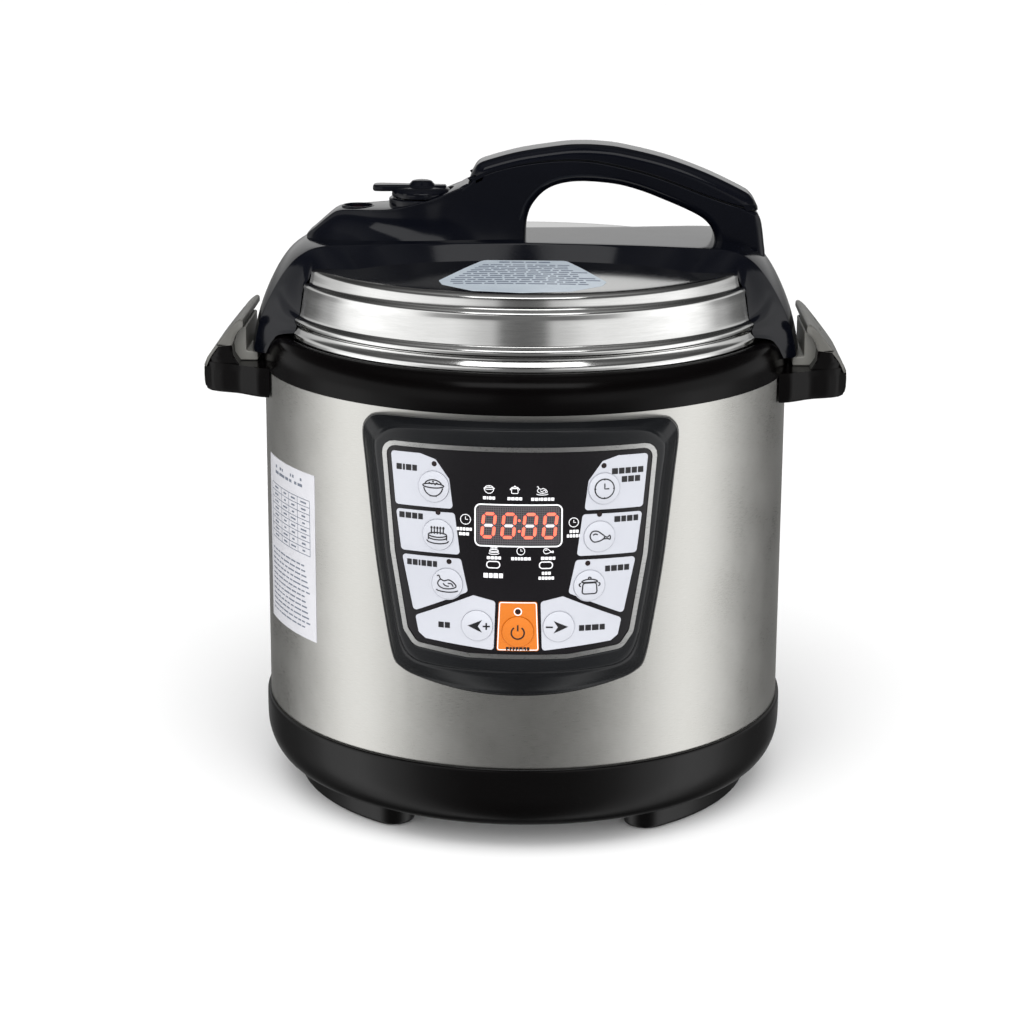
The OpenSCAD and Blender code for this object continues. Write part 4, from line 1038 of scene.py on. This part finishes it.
def make_panel_prints():
    """Captions as plain blocks, the outline of the display, small pictograms and lamp rings."""
    plate, film = on_panel(148.8), on_panel(148.5)
    dark = []
    for u, v, rows in ((-53.5, 199.8, [(2.2, 0.9, 2.2, 1.9)]), (-51.5, 176.2, [(2.2, 2.3, 2.1, 1.9)]),
                       (-46.2, 153.2, [(1.9, 2, 0.8, 1.9, 2, 1.7)]),
                       (51.5, 199.6, [(2.4, 2.2, 2.1, 2.1, 2.2), (2.2, 2.3, 2.1)]),
                       (51.2, 176.0, [(2.4, 1.9, 2.2, 1.9)]), (47.2, 151.8, [(2.0, 2.3, 2.2, 2.0)]),
                       (-35.5, 123.2, [(2.2, 2.1)]), (35.5, 122.8, [(2.1, 2.3, 2.7, 2.1)])):
        for row, widths in enumerate(rows):
            wide = [width * 1.2 for width in widths]
            dark += bars(u + (1.6 if row else 0), v - row * 4.2, wide, 2.9, plate, 0.45)
    dark += bars(0, 112.9, (1.4, 1.2, 1.2, 1.3, 1.7, 1.4, 1.3), 1.7, plate, 0.3)
    make("panel_captions", *joined(*dark), "base", MAT["ink"], "panel_black", sharp=60)

    light = [line(rounded([(-20.6, 184.2), (-20.6, 163.8), (20.6, 163.8), (20.6, 184.2)], 2.6, 5), 0.7,
                  film, True)]
    for u, v, size, lines in ((-14.0, 191.8, 2.5, icon_bowl()), (-1.8, 191.6, 2.3, icon_pot()),
                              (11.2, 191.2, 2.7, icon_roast()), (-11.6, 161.6, 2.4, icon_cake()),
                              (1.2, 161.6, 2.1, icon_clock()), (14.2, 161.4, 2.5, icon_leg()),
                              (-25.2, 176.4, 2.7, icon_clock()), (26.2, 175.4, 2.5, icon_clock())):
        light += draw(scaled(lines, size, u, v), 0.32, film)
    for u, v, widths in ((-14.0, 187.4, (1.5, 0.6, 1.5, 1.3)), (-1.8, 187.3, (1.5, 1.6, 1.6, 1.4)),
                         (11.4, 187.1, (1.4, 1.5, 0.6, 1.4, 1.5, 1.3, 1.5)),
                         (-11.6, 158.0, (1.5, 1.6, 1.5, 1.3)),
                         (1.3, 157.8, (1.4, 1.1, 1.1, 1.3, 1.8, 1.2)), (14.2, 158.0, (1.7, 1.3, 1.6, 1.3)),
                         (-25.9, 171.6, (1.4, 1.3, 1.2, 1.3, 1.2)), (-25.9, 169.2, (1.3, 1.5, 1.4)),
                         (26.4, 171.0, (1.3, 1.2, 1.2)), (26.4, 168.8, (1.1, 1.2, 1.1, 1.2, 1.1)),
                         (13.4, 150.6, (1.2, 1.2, 1.3)), (13.4, 148.2, (1.3, 1.3, 1.2, 1.2, 1.3))):
        light += bars(u, v, widths, 1.5, film, 0.28)
    light += bars(-11.9, 149.2, (2.2, 1.8, 2.2, 1.9), 2.3, film, 0.4)
    for u in (-11.9, 13.2):
        light.append(line(rounded([(u - 3.1, 156.2), (u - 3.1, 153.0), (u + 3.1, 153.0),
                                   (u + 3.1, 156.2)], 1.5, 5),
                          0.5, film, True))
    make("panel_marks", *joined(*light), "base", MAT["white"], "label_white", sharp=60)

    edge = rounded([(-8.7, 136.0), (-9.7, 112.3), (9.7, 112.3), (8.7, 136.0)], 0.9, 4)
    make("warm_outline", *line(edge, 0.45, plate, True), "base", MAT["white"], "label_white", sharp=60)
    lamp_ring = line(circle(1.75, 25, 0, 131.5)[:-1], 0.5, plate, True)
    make("warm_lamp_ring", *lamp_ring, "base", MAT["white"], "label_white", sharp=60)


SEGMENTS = {"a": ((-1, 2), (1, 2)), "b": ((1, 2), (1, 0)), "c": ((1, 0), (1, -2)), "d": ((-1, -2), (1, -2)),
            "e": ((-1, 0), (-1, -2)), "f": ((-1, 2), (-1, 0)), "g": ((-1, 0), (1, 0))}


def segment(start, end, du, dv, lean, half):
    """One lozenge segment of a digit."""
    a, b = Vector((start[0] * du, start[1] * dv)), Vector((end[0] * du, end[1] * dv))
    d = (b - a).normalized()
    w = Vector((-d[1], d[0])) * half
    gap = half * 0.62
    shape = [a + d * gap, a + d * (gap + half) + w, b - d * (gap + half) + w, b - d * gap,
             b - d * (gap + half) - w, a + d * (gap + half) - w]
    return [(p[0] + p[1] * lean, p[1]) for p in shape]


def make_digits():
    """Four digits and a colon behind the window."""
    film = on_panel(148.6)
    lit, pale = [], []
    for centre in (-14.2, -4.6, 5.4, 15.0):
        for key, (start, end) in SEGMENTS.items():
            shape = segment(start, end, 2.75, 2.85, 0.10, 0.72)
            shape = [(u + centre, v + 174.0) for u, v in shape]
            (pale if key == "g" else lit).append(patch(shape, film))
    for v in (171.4, 176.6):
        lit.append(patch([(0.4 + u, v + w) for u, w in circle(0.62, 13)[:-1]], film))
    make("digits_lit", *joined(*lit), "base", MAT["digit"], "display_red", sharp=60)
    make("digits_pale", *joined(*pale), "base", MAT["digit_off"], "display_red", sharp=60)


make_key_prints()
make_key_rims()
make_panel_prints()
make_digits()


# ---- labels ----

def make_side_print():
    """Plain grey rows and a table on the side label."""
    place = on_steel(209)
    parts = []
    for row in range(2):
        parts += bars(0, 177.5 - row * 3.0, (5.2, 7.6, 3.8, 8.4, 4.6) if row else (9, 12, 10), 1.5, place,
                      1.2)
    for i in range(9):
        v = 168 - 3.6 * i
        parts.append(line([(-24, v), (24, v)], 0.35, place))
    for u in (-24, -8, 2, 12, 24):
        parts.append(line([(u, 168), (u, 139.2)], 0.35, place))
    for i in range(8):
        for j, u in enumerate((-16, -3, 7, 18)):
            parts += bars(u, 166.2 - 3.6 * i, (2.6 + (i * 3 + j * 5) % 4,) if j else (6.0 + (i * 5) % 5,),
                          0.9, place)
    for i in range(13):
        widths = [3.0 + (i * 7 + k * 5) % 6 for k in range(7)]
        parts += bars(-24, 133 - 2.7 * i, widths, 0.8, place, 1.0, centred=False)
    make("side_label_print", *joined(*parts), "base", MAT["grey_ink"], "label_white", sharp=60)


def make_lid_print():
    """Plain grey rows on the lid label."""
    parts = bars(0, -37.5, (5.4, 6.2, 5.6, 5.8), 3.0, on_lid, 0.9)
    for i in range(11):
        v = -45.0 - 4.6 * i
        reach = table([(-100, 25), (-93, 33), (-84, 36), (-32, 16)], v)
        x = -reach
        k = 0
        widths = []
        while x < reach - 4:
            w = 3.0 + (i * 5 + k * 3) % 6
            widths.append(w)
            x += w + 1.1
            k += 1
        parts += bars(-reach, v, widths, 2.2, on_lid, 1.1, centred=False)
    make("lid_label_print", *joined(*parts), "lid", MAT["grey_ink"], "label_blue", sharp=60)


make_side_print()
make_lid_print()


# ---- lid ----

LID_TOP = 281.4


def make_lid_dome():
    """Polished lid with its two raised beads, rolled edge and locking lugs."""
    steps = [(0.05, 0), (60, -0.5), (100, -1.75), (112, -2.25), (115.2, -2.7), (116.6, -3.7), (117.2, -5.4),
             (117.9, -8.4), (118.6, -9.6), (119.9, -10.2), (120.7, -11.4), (120.75, -12.8), (120.8, -14.2),
             (121.5, -19), (122.4, -25.2), (122.9, -26.7), (124.0, -27.4), (124.9, -28.6), (125.0, -30),
             (124.4, -31.2), (123.75, -32), (123.9, -33), (124.6, -34.4), (125.4, -35.6), (125.75, -37),
             (125.8, -40)]
    outer = [(p[0], LID_TOP + p[1]) for p in spline(steps, 3)]
    outer += [(125.8, 231), (125.6, 229.8), (125.05, 229.5), (124.5, 229.8), (124.3, 231)]
    back = [(max(0.05, r - 1.5), z) for r, z in reversed(outer[:-5]) if r > 118]
    back += [(114.5, LID_TOP - 4.2), (111, LID_TOP - 3.75), (60, LID_TOP - 2.0), (0.05, LID_TOP - 1.5)]
    shell = lathe(outer + back, 256)
    lugs = [sector(119.9, 124.8, 230.4, 232.8, 60 * i + 30, 26) for i in range(6)]
    make("lid_dome", *joined(shell, *lugs), "lid", MAT["lid"], "polished_lid", ["lid_shell"], sharp=50)


BRIDGE_LINE = [(0, 289.5), (60, 289.5), (92, 289.45), (101, 289.3), (108, 288.9), (114, 287.5), (119, 284.9),
               (123, 281.5), (126.4, 277.1), (129.6, 271.9), (132.8, 265.5), (135.4, 259.5), (137.6, 253.5),
               (139.6, 246.5), (141.2, 239.5), (142.1, 234.4)]
LID_UNDER = [(0, 281.6), (112, 279.3), (115.8, 278.7), (117.4, 277.0), (119, 271.9), (121.1, 270.2),
             (121.3, 267.2),
             (122.9, 255.0), (125.2, 253.2), (125.2, 250.2), (124.9, 247), (126, 245.4)]
LID_OUT = [(230, 126.05), (244.8, 126.05), (246.8, 124.85), (249.4, 124.2), (250.6, 124.65), (252.2, 125.25),
           (253.8, 124.45), (254.8, 122.85), (267.2, 121.25), (268.2, 120.85), (270, 121.05), (271.4, 119.85),
           (272.4, 118.45), (277, 117.25), (278.5, 115.85), (279.3, 112.25)]
TOP_HALF = [(0, 26), (50, 31), (98, 38), (112, 39), (120, 39.5), (130, 37), (138, 31.6), (142.4, 27.2)]
FOOT_HALF = [(0, 29), (50, 37), (80, 46), (98, 53), (110, 51), (117, 47.5), (126, 47)]
TIP_CURVE = [(0, 0), (0.28, 0.02), (0.3, 0.14), (0.4, 0.51), (0.57, 0.78), (0.79, 0.92), (1, 1)]


def bridge_half(side):
    """Rings of the bridge from its middle to the tip of one ear."""
    line_pts = spline(BRIDGE_LINE, 4)
    line_pts += [Vector((142.2, 233.0)), Vector((141.8, 232.3)), Vector((141.1, 232.0))]
    across, down = 12, 8
    rings = []
    for p in line_pts:
        r, z = p
        top = smooth_table(TOP_HALF, min(r, 142.4))
        ear = min(1.0, max(0.0, (r - 60) / 45))
        drop = min(1.0, max(0.0, (r - 112) / 30.3))
        if r < 112:
            foot_r = r
            under = table(LID_UNDER, r)
        else:
            under = lerp(279.3, 245.6, drop ** 0.8)
            foot_r = table(LID_OUT, under)
        foot_half = smooth_table(FOOT_HALF, min(foot_r, 126))
        if r > 98:
            foot_x = math.sqrt(max(0.0, foot_r ** 2 - foot_half ** 2))
        else:
            foot_x = foot_r * lerp(1, 0.87, max(0, (r - 40) / 58))
        foot_x = max(foot_x, 0.0) if r > 0 else 0.0

        def outer_point(y):
            x = r - (r - math.sqrt(max(0.0, r * r - y * y))) * ear if r > 45 else r
            radius = math.hypot(x, y)
            height = z if ear >= 1 else (table(BRIDGE_LINE, radius) if radius > r else z)
            return Vector((side * x, y, height))

        def side_point(sign, m):
            a = outer_point(sign * top)
            b = Vector((side * foot_x, sign * foot_half, under))
            g = lerp(m, table(TIP_CURVE, m), drop)
            return Vector((lerp(a[0], b[0], m), lerp(a[1], b[1], m), lerp(a[2], b[2], g)))

        def under_point(t):
            y = foot_half * t
            if r > 98:
                x = math.sqrt(max(0.0, foot_r ** 2 - y * y))
                x = lerp(x, foot_x, 1 - min(1.0, (r - 98) / 12))
            else:
                x = foot_x
            return Vector((side * x, y, under))

        ring = [outer_point(top * lerp(-1, 1, i / across)) for i in range(across + 1)]
        ring += [side_point(1, (j + 1) / down) for j in range(down)]
        ring += [under_point(lerp(1, -1, i / across)) for i in range(1, across)]
        ring += [side_point(-1, (down - j) / down) for j in range(down)]
        n = len(ring)
        radius = table([(0, 2.2), (90, 2.6), (112, 3.4), (126, 3.2), (142, 2.4)], r)
        smooth = []
        for k in range(n):
            if k in (0, across):
                smooth += corner(ring[k - 1], ring[k], ring[(k + 1) % n], radius, 5)
            else:
                smooth.append(ring[k])
        rings.append(smooth)
    return rings


def make_bridge():
    """Band over the lid with an ear at each end."""
    right = bridge_half(1)
    left = bridge_half(-1)
    rings = list(reversed(left)) + right[1:]
    piece = make("bridge", *loft(rings), "lid", MAT["gloss"], "gloss_black", ["lid_bridge"], sharp=48,
                 soften=False)
    cut(piece, [cylinder(4.0, 262, 300, -87)])


SEAM = [(-29.5, 318), (-23.5, 321.6), (-12, 325.6), (2, 328.4), (18, 330), (33.6, 329.6), (52, 326),
        (70.2, 320.8),
        (96.4, 311), (117.6, 304.6)]
HANDLE_HALF = 14.5


def with_radii(parts):
    """Joins (points, edge radius) pieces into one outline and its list of radii."""
    outline, radii = [], []
    for points, radius in parts:
        for p in points:
            if outline and (Vector(p) - outline[-1]).length < 0.25:
                continue
            outline.append(Vector(p))
            radii.append(radius)
    count = len(radii)
    blurred = [sum(radii[(i + k) % count] for k in range(-3, 4)) / 7 for i in range(count)]
    return outline, blurred


def make_handle():
    """Arch of the handle under the seam, the grip above it and a strip in the seam between them."""
    seam = spline([(x, z - 0.25) for x, z in SEAM], 6)
    hole = spline([(0, 286), (0, 292), (0.5, 299), (2.4, 305.4), (6, 310.6), (10.4, 314.6), (16, 317.2),
                   (22.6, 318.6),
                   (30, 319), (40, 318.4), (49.5, 317), (60, 314), (70.4, 310), (81, 305.6), (89, 301.6),
                   (93.6, 297.8), (96.2, 293.4), (97, 289), (97, 285)], 4)
    right = spline([(118.6, 303.9), (120.4, 300), (121.4, 295), (122.2, 289), (123.0, 283.2),
                    (123.1, 281)], 3)
    left = spline([(-46, 286), (-45, 300), (-40, 311), (-34, 315.6), (-30.4, 317.6)], 3)
    outline, radii = with_radii([(left, 2.5), (seam, 0.7), (right, 4.2), (reversed(hole), 4.6)])
    arch = rounded_prism(outline, -HANDLE_HALF, HANDLE_HALF, radii, 6)
    piece = make("handle_arch", *arch, "lid", MAT["gloss"], "gloss_black", ["handle_base"], sharp=50,
                 soften=True)
    cut(piece, [cylinder(16.5, 280, 340, -54)])

    bottom = spline([(x, z + 0.25) for x, z in SEAM], 6)
    top = spline([(118.8, 305.4), (118.5, 307.2), (115.8, 311.4), (110.8, 315.0), (91.5, 324), (70.4, 331.4),
                  (49.4, 336.25), (38, 337.65), (28.4, 337.95), (17.9, 337.3), (-3.1, 334), (-18.8, 329.8),
                  (-24.6, 327.4), (-27.4, 323.6), (-29.2, 319.4)], 5)
    outline, radii = with_radii([(bottom, 0.8), (top, 6.2)])
    cover = rounded_prism(outline, -HANDLE_HALF, HANDLE_HALF, radii, 7)
    make("grip", *cover, "lid", MAT["gloss"], "gloss_black", ["grip_cover"], sharp=50, soften=True)

    gap = with_radii([(seam, 1.0), (reversed(bottom), 1.0)])[0]
    strip = rounded_prism(gap, -HANDLE_HALF + 1.3, HANDLE_HALF - 1.3, 0.1, 2)
    make("handle_seam", *strip, "lid", MAT["seam"], "satin_black", sharp=50)


HOUSING_TOP = [(-113.4, 289.6), (-112, 291.2), (-109, 293.6), (-103.5, 298.4), (-98.5, 302.2), (-95, 303.2),
               (-90, 303.5), (-80, 303.9), (-71, 304.5), (-62, 306), (-52, 308.6), (-44, 311.2), (-36, 314.6),
               (-28, 317.4), (-18, 319.5), (-8, 320.4), (-1.5, 320.6)]
HOUSING_TOP_HALF = [(-113.4, 5), (-109, 8), (-103, 10), (-95, 11.4), (-88, 13), (-78, 16), (-66, 17.6),
                    (-54, 17.6), (-42, 15.6),
                    (-30, 14.2), (-12, 13.9), (-1.5, 13.7)]
HOUSING_FOOT_HALF = [(-113.4, 8), (-108, 15), (-100, 20.5), (-90, 23.6), (-75, 24), (-60, 23.8),
                     (-44, 21.6), (-28, 18.6),
                     (-12, 16.2), (-1.5, 14.9)]


def make_housing():
    """Body round the two valves, blending into the arch."""
    rings = []
    count = 64
    up = 14
    for i in range(count + 1):
        x = lerp(-113.4, -1.2, i / count)
        zt = smooth_table(HOUSING_TOP, x)
        zb = min(zt - 1.0, table([(-116, 285), (-108, 287.6), (-98, 288.9), (0, 288.9)], x))
        top = smooth_table(HOUSING_TOP_HALF, x)
        foot = smooth_table(HOUSING_FOOT_HALF, x)
        half = []
        for k in range(up + 1):
            t = k / up
            half.append(Vector((lerp(foot, top, 1 - (1 - t) ** 1.9), lerp(zb, zt, t))))
        fillet = corner(half[-2], half[-1], Vector((0, zt + 0.4)), 2.6, 5)
        right = half[:-1] + fillet + [Vector((top * 0.5, zt + 0.3))]
        ring = [(x, p[0], p[1]) for p in right] + [(x, 0, zt + 0.4)]
        ring += [(x, -p[0], p[1]) for p in reversed(right)]
        rings.append(ring)
    piece = make("valve_housing", *loft(rings), "lid", MAT["gloss"], "gloss_black", sharp=50)
    cut(piece, [cylinder(13.6, 303, 340, -54)])
    cut(piece, [cylinder(10.6, 285, 303.5, -54)])
    cut(piece, [cylinder(16.5, 308.6, 340, -54), cylinder(7.2, 296, 320, -87)])
    cut(piece, [cylinder(4.0, 285, 300, -87)])

    collar = lathe(rounded([(13.6, 299), (17, 299), (17, 308.8), (13.6, 308.8)], 0.7, 4), 96)
    verts = [(v[0] - 54, v[1], v[2]) for v in collar[0]]
    make("valve_collar", verts, collar[1], "lid", MAT["gloss"], "gloss_black", sharp=40)
    lip = lathe(rounded([(7.3, 302.4), (8.6, 302.4), (8.6, 304.5), (7.3, 304.5)], 0.5, 3), 64)
    verts = [(v[0] - 87, v[1], v[2]) for v in lip[0]]
    make("float_lip", verts, lip[1], "lid", MAT["gloss"], "gloss_black", sharp=40)


def make_valve_knob():
    """Pressure valve: weighted stem, round disc, raised hub and a flat lever."""
    def moved(part):
        return [(v[0] - 54, v[1], v[2]) for v in part[0]], part[1]

    stem = lathe([(5.1, 296.6), (5.5, 296), (9.2, 296), (9.6, 296.6), (9.6, 310), (5.1, 310)], 72)
    disc_line = [(0.05, 314.4), (9.0, 314.4), (12.6, 314.0), (14.4, 313.2), (15.4, 311.9), (15.6, 310.6),
                 (15.5, 309.6), (15.0, 309.2), (0.05, 309.2)]
    disc = lathe(disc_line, 96)
    slope = spline([(3.6, 317.6), (5.0, 317.2), (6.0, 316.2), (7.2, 315.0), (9.4, 314.2)], 3)
    hub_line = [(0.05, 317.7)] + [(p[0], p[1]) for p in slope] + [(0.05, 314.0)]
    hub = lathe(hub_line, 72)
    lever = rounded([(-25.2, -2.8), (-24.2, -4.8), (-20, -5.4), (-10, -4.4), (-2, -3.8), (-2, 3.8),
                     (-10, 4.4),
                     (-20, 5.4), (-24.2, 4.8), (-25.2, 2.8)], 1.4, 4)
    rings = []
    for depth, z in ((0.5, 312.2), (0.0, 312.7), (0.0, 314.7), (0.35, 315.2), (0.9, 315.4)):
        rings.append([(p[0], p[1], z) for p in inset(lever, depth)])
    rib = rounded([(5, -3.2), (12.6, -2.6), (12.6, 2.6), (5, 3.2)], 0.8, 3)
    rib_rings = [[(p[0], p[1], z) for p in inset(rib, d)] for d, z in ((0, 313.2), (0, 314.8), (0.5, 315.3))]
    grips = [sector(13.6, 15.75, 309.6, 312.2, a, 7, 3) for a in range(0, 360, 24) if not 130 < a < 230]
    parts = [moved(p) for p in [stem, disc, hub, loft(rings), loft(rib_rings)] + grips]
    make("valve_knob", *joined(*parts), "pressure_valve", MAT["gloss"], "gloss_black", ["pressure_valve"],
         sharp=40)


SPRING_R = 8


def make_spring():
    """Coil under the sensor cap."""
    turns, steps, sides = 5, 36, 12
    low, high, wire = 50.8, 69.3, 0.8
    rings = []
    for i in range(turns * steps + 1):
        a = 2 * math.pi * i / steps
        z = lerp(low, high, i / (turns * steps))
        ring = []
        for k in range(sides):
            b = 2 * math.pi * k / sides
            r = SPRING_R + wire * math.cos(b)
            ring.append((r * math.cos(a), r * math.sin(a), z + wire * math.sin(b)))
        rings.append(ring)
    piece = make("spring_coil", *loft(rings), "base", MAT["spring"], "spring_steel", ["sensor_spring"],
                 sharp=60)
    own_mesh(piece)


make_spring()
make_lid_dome()
make_bridge()
make_handle()
make_housing()
make_valve_knob()


# ---- stage, light and camera ----

def make_stage():
    """Plain pale floor."""
    mesh = bpy.data.meshes.new("floor")
    size = 6.0
    mesh.from_pydata([(-size, -size, 0), (size, -size, 0), (size, size, 0), (-size, size, 0)], [],
                     [(0, 1, 2, 3)])
    floor = bpy.data.objects.new("floor", mesh)
    mat = Nodes("floor_paint")
    cloud = mat.noise(mat.stretched((1, 1, 1)), 3, 3)
    mat.link(mat.ramp(cloud, (0.90, 0.90, 0.90), (0.91, 0.91, 0.91)), mat.shader.inputs["Base Color"])
    mat.set(roughness=0.9, specular=0.1)
    mesh.materials.append(mat.mat)
    bpy.context.scene.collection.objects.link(floor)
    floor.visible_glossy = False


def area_light(name, place, target, size, power, mirrored_in_gloss=True):
    """Soft box at place that looks at target; all in metres."""
    data = bpy.data.lights.new(name, "AREA")
    data.shape = "RECTANGLE"
    data.size, data.size_y = size
    data.energy = power
    lamp = bpy.data.objects.new(name, data)
    lamp.location = place
    lamp.rotation_euler = (Vector(target) - Vector(place)).to_track_quat("-Z", "Y").to_euler()
    lamp.visible_glossy = mirrored_in_gloss
    bpy.context.scene.collection.objects.link(lamp)


def make_world():
    """Soft surround: bright to both sides and above, dark behind the camera and behind the object."""
    world = bpy.data.worlds.new("studio")
    bpy.context.scene.world = world
    world.use_nodes = True
    tree = world.node_tree
    background = tree.nodes["Background"]

    def add(kind, *links, **values):
        node = tree.nodes.new(kind)
        for key, value in values.items():
            setattr(node, key, value)
        for socket, source in zip(node.inputs, links):
            if isinstance(source, (int, float)):
                socket.default_value = source
            elif source is not None:
                tree.links.new(source, socket)
        return node

    def ramp(source, stops):
        node = add("ShaderNodeValToRGB", source)
        line_stops = node.color_ramp.elements
        while len(line_stops) < len(stops):
            line_stops.new(0.5)
        for element, (at, level) in zip(line_stops, stops):
            element.position = at
            element.color = (level, level, level, 1)
        node.color_ramp.interpolation = "EASE"
        return node.outputs[0]

    where = add("ShaderNodeTexCoord").outputs["Generated"]
    xyz = add("ShaderNodeSeparateXYZ", where)
    aside = add("ShaderNodeMath", xyz.outputs["X"], operation="ABSOLUTE").outputs[0]
    front = add("ShaderNodeMath", xyz.outputs["Y"], -1.0, operation="MULTIPLY").outputs[0]
    turn = add("ShaderNodeMath", aside, front, operation="ARCTAN2").outputs[0]
    turn = add("ShaderNodeMath", turn, math.pi, operation="DIVIDE").outputs[0]
    height = add("ShaderNodeMath", xyz.outputs["Z"], 0.5, operation="MULTIPLY").outputs[0]
    height = add("ShaderNodeMath", height, 0.5, operation="ADD").outputs[0]
    below = add("ShaderNodeMath", ramp(turn, LOW_AROUND), ramp(height, LOW_HEIGHT),
                operation="MULTIPLY").outputs[0]
    above = add("ShaderNodeMath", ramp(turn, HIGH_AROUND), ramp(height, HIGH_HEIGHT),
                operation="MULTIPLY").outputs[0]
    light = add("ShaderNodeMath", below, above, operation="ADD").outputs[0]
    path = add("ShaderNodeLightPath")
    tint = add("ShaderNodeMix", path.outputs["Is Camera Ray"], None, data_type="FLOAT")
    tree.links.new(light, tint.inputs["A"])
    tint.inputs["B"].default_value = BACKDROP
    tree.links.new(tint.outputs["Result"], background.inputs["Color"])
    background.inputs["Strength"].default_value = 1.0


BACKDROP = 6.0
LOW_AROUND = [(0.0, 0.20), (0.12, 0.21), (0.22, 0.46), (0.33, 1.4), (0.42, 2.2), (0.50, 1.6), (0.60, 0.42),
              (0.68, 0.16), (0.76, 0.10), (1.0, 0.30)]
LOW_HEIGHT = [(0.0, 0.4), (0.30, 0.9), (0.46, 1.0), (0.54, 0.0)]
HIGH_AROUND = [(0.0, 0.16), (0.05, 0.20), (0.085, 0.75), (0.20, 1.15), (0.45, 1.35), (0.60, 0.8),
               (0.75, 0.50),
               (1.0, 0.75)]
HIGH_HEIGHT = [(0.46, 0.0), (0.54, 1.0), (0.645, 1.0), (0.69, 0.14), (0.80, 0.08), (1.0, 0.30)]


SUN_POWER = 3.4
SUN_SPREAD = 100  # degrees across, so shadows stay soft
SUN_LEAN = 32  # degrees from overhead, on the camera side


def make_lights():
    """Box and fill from the front, and one broad sun that whitens the floor."""
    middle = (0, 0, 0.16)
    area_light("front_top_box", (0, -1.15, 1.55), middle, (1.5, 0.6), 7)
    area_light("front_fill", (0, -2.2, 0.9), middle, (2.2, 1.4), 16, False)
    data = bpy.data.lights.new("broad_sun", "SUN")
    data.energy = SUN_POWER
    data.angle = math.radians(SUN_SPREAD)
    lamp = bpy.data.objects.new("broad_sun", data)
    lamp.rotation_euler = (math.radians(SUN_LEAN), 0, 0)
    lamp.visible_glossy = False
    bpy.context.scene.collection.objects.link(lamp)


CAMERA_AT = Vector((24.2, -1314.6, 498.0))
CAMERA_DOWN = 0.25379
CAMERA_TURN = -0.02346
CAMERA_ROLL = 0.005392
LENS = 89.80
SHIFT_Y = -0.02925


def make_camera():
    """Camera at the photograph's viewing angle."""
    ahead = Vector((math.sin(CAMERA_TURN) * math.cos(CAMERA_DOWN),
                    math.cos(CAMERA_TURN) * math.cos(CAMERA_DOWN),
                    -math.sin(CAMERA_DOWN)))
    right = Vector((math.cos(CAMERA_TURN), -math.sin(CAMERA_TURN), 0))
    up = right.cross(ahead)
    c, s = math.cos(CAMERA_ROLL), math.sin(CAMERA_ROLL)
    side, top = right * c + up * s, up * c - right * s
    data = bpy.data.cameras.new("camera")
    data.lens = LENS
    data.sensor_width = 36
    data.shift_y = SHIFT_Y
    camera = bpy.data.objects.new("camera", data)
    turn = Matrix((side, top, -ahead)).transposed().to_4x4()
    turn.translation = CAMERA_AT * MM
    camera.matrix_world = turn
    bpy.context.scene.collection.objects.link(camera)
    bpy.context.scene.camera = camera


bpy.context.scene.view_settings.view_transform = "Standard"
make_stage()
make_world()
make_lights()
make_camera()
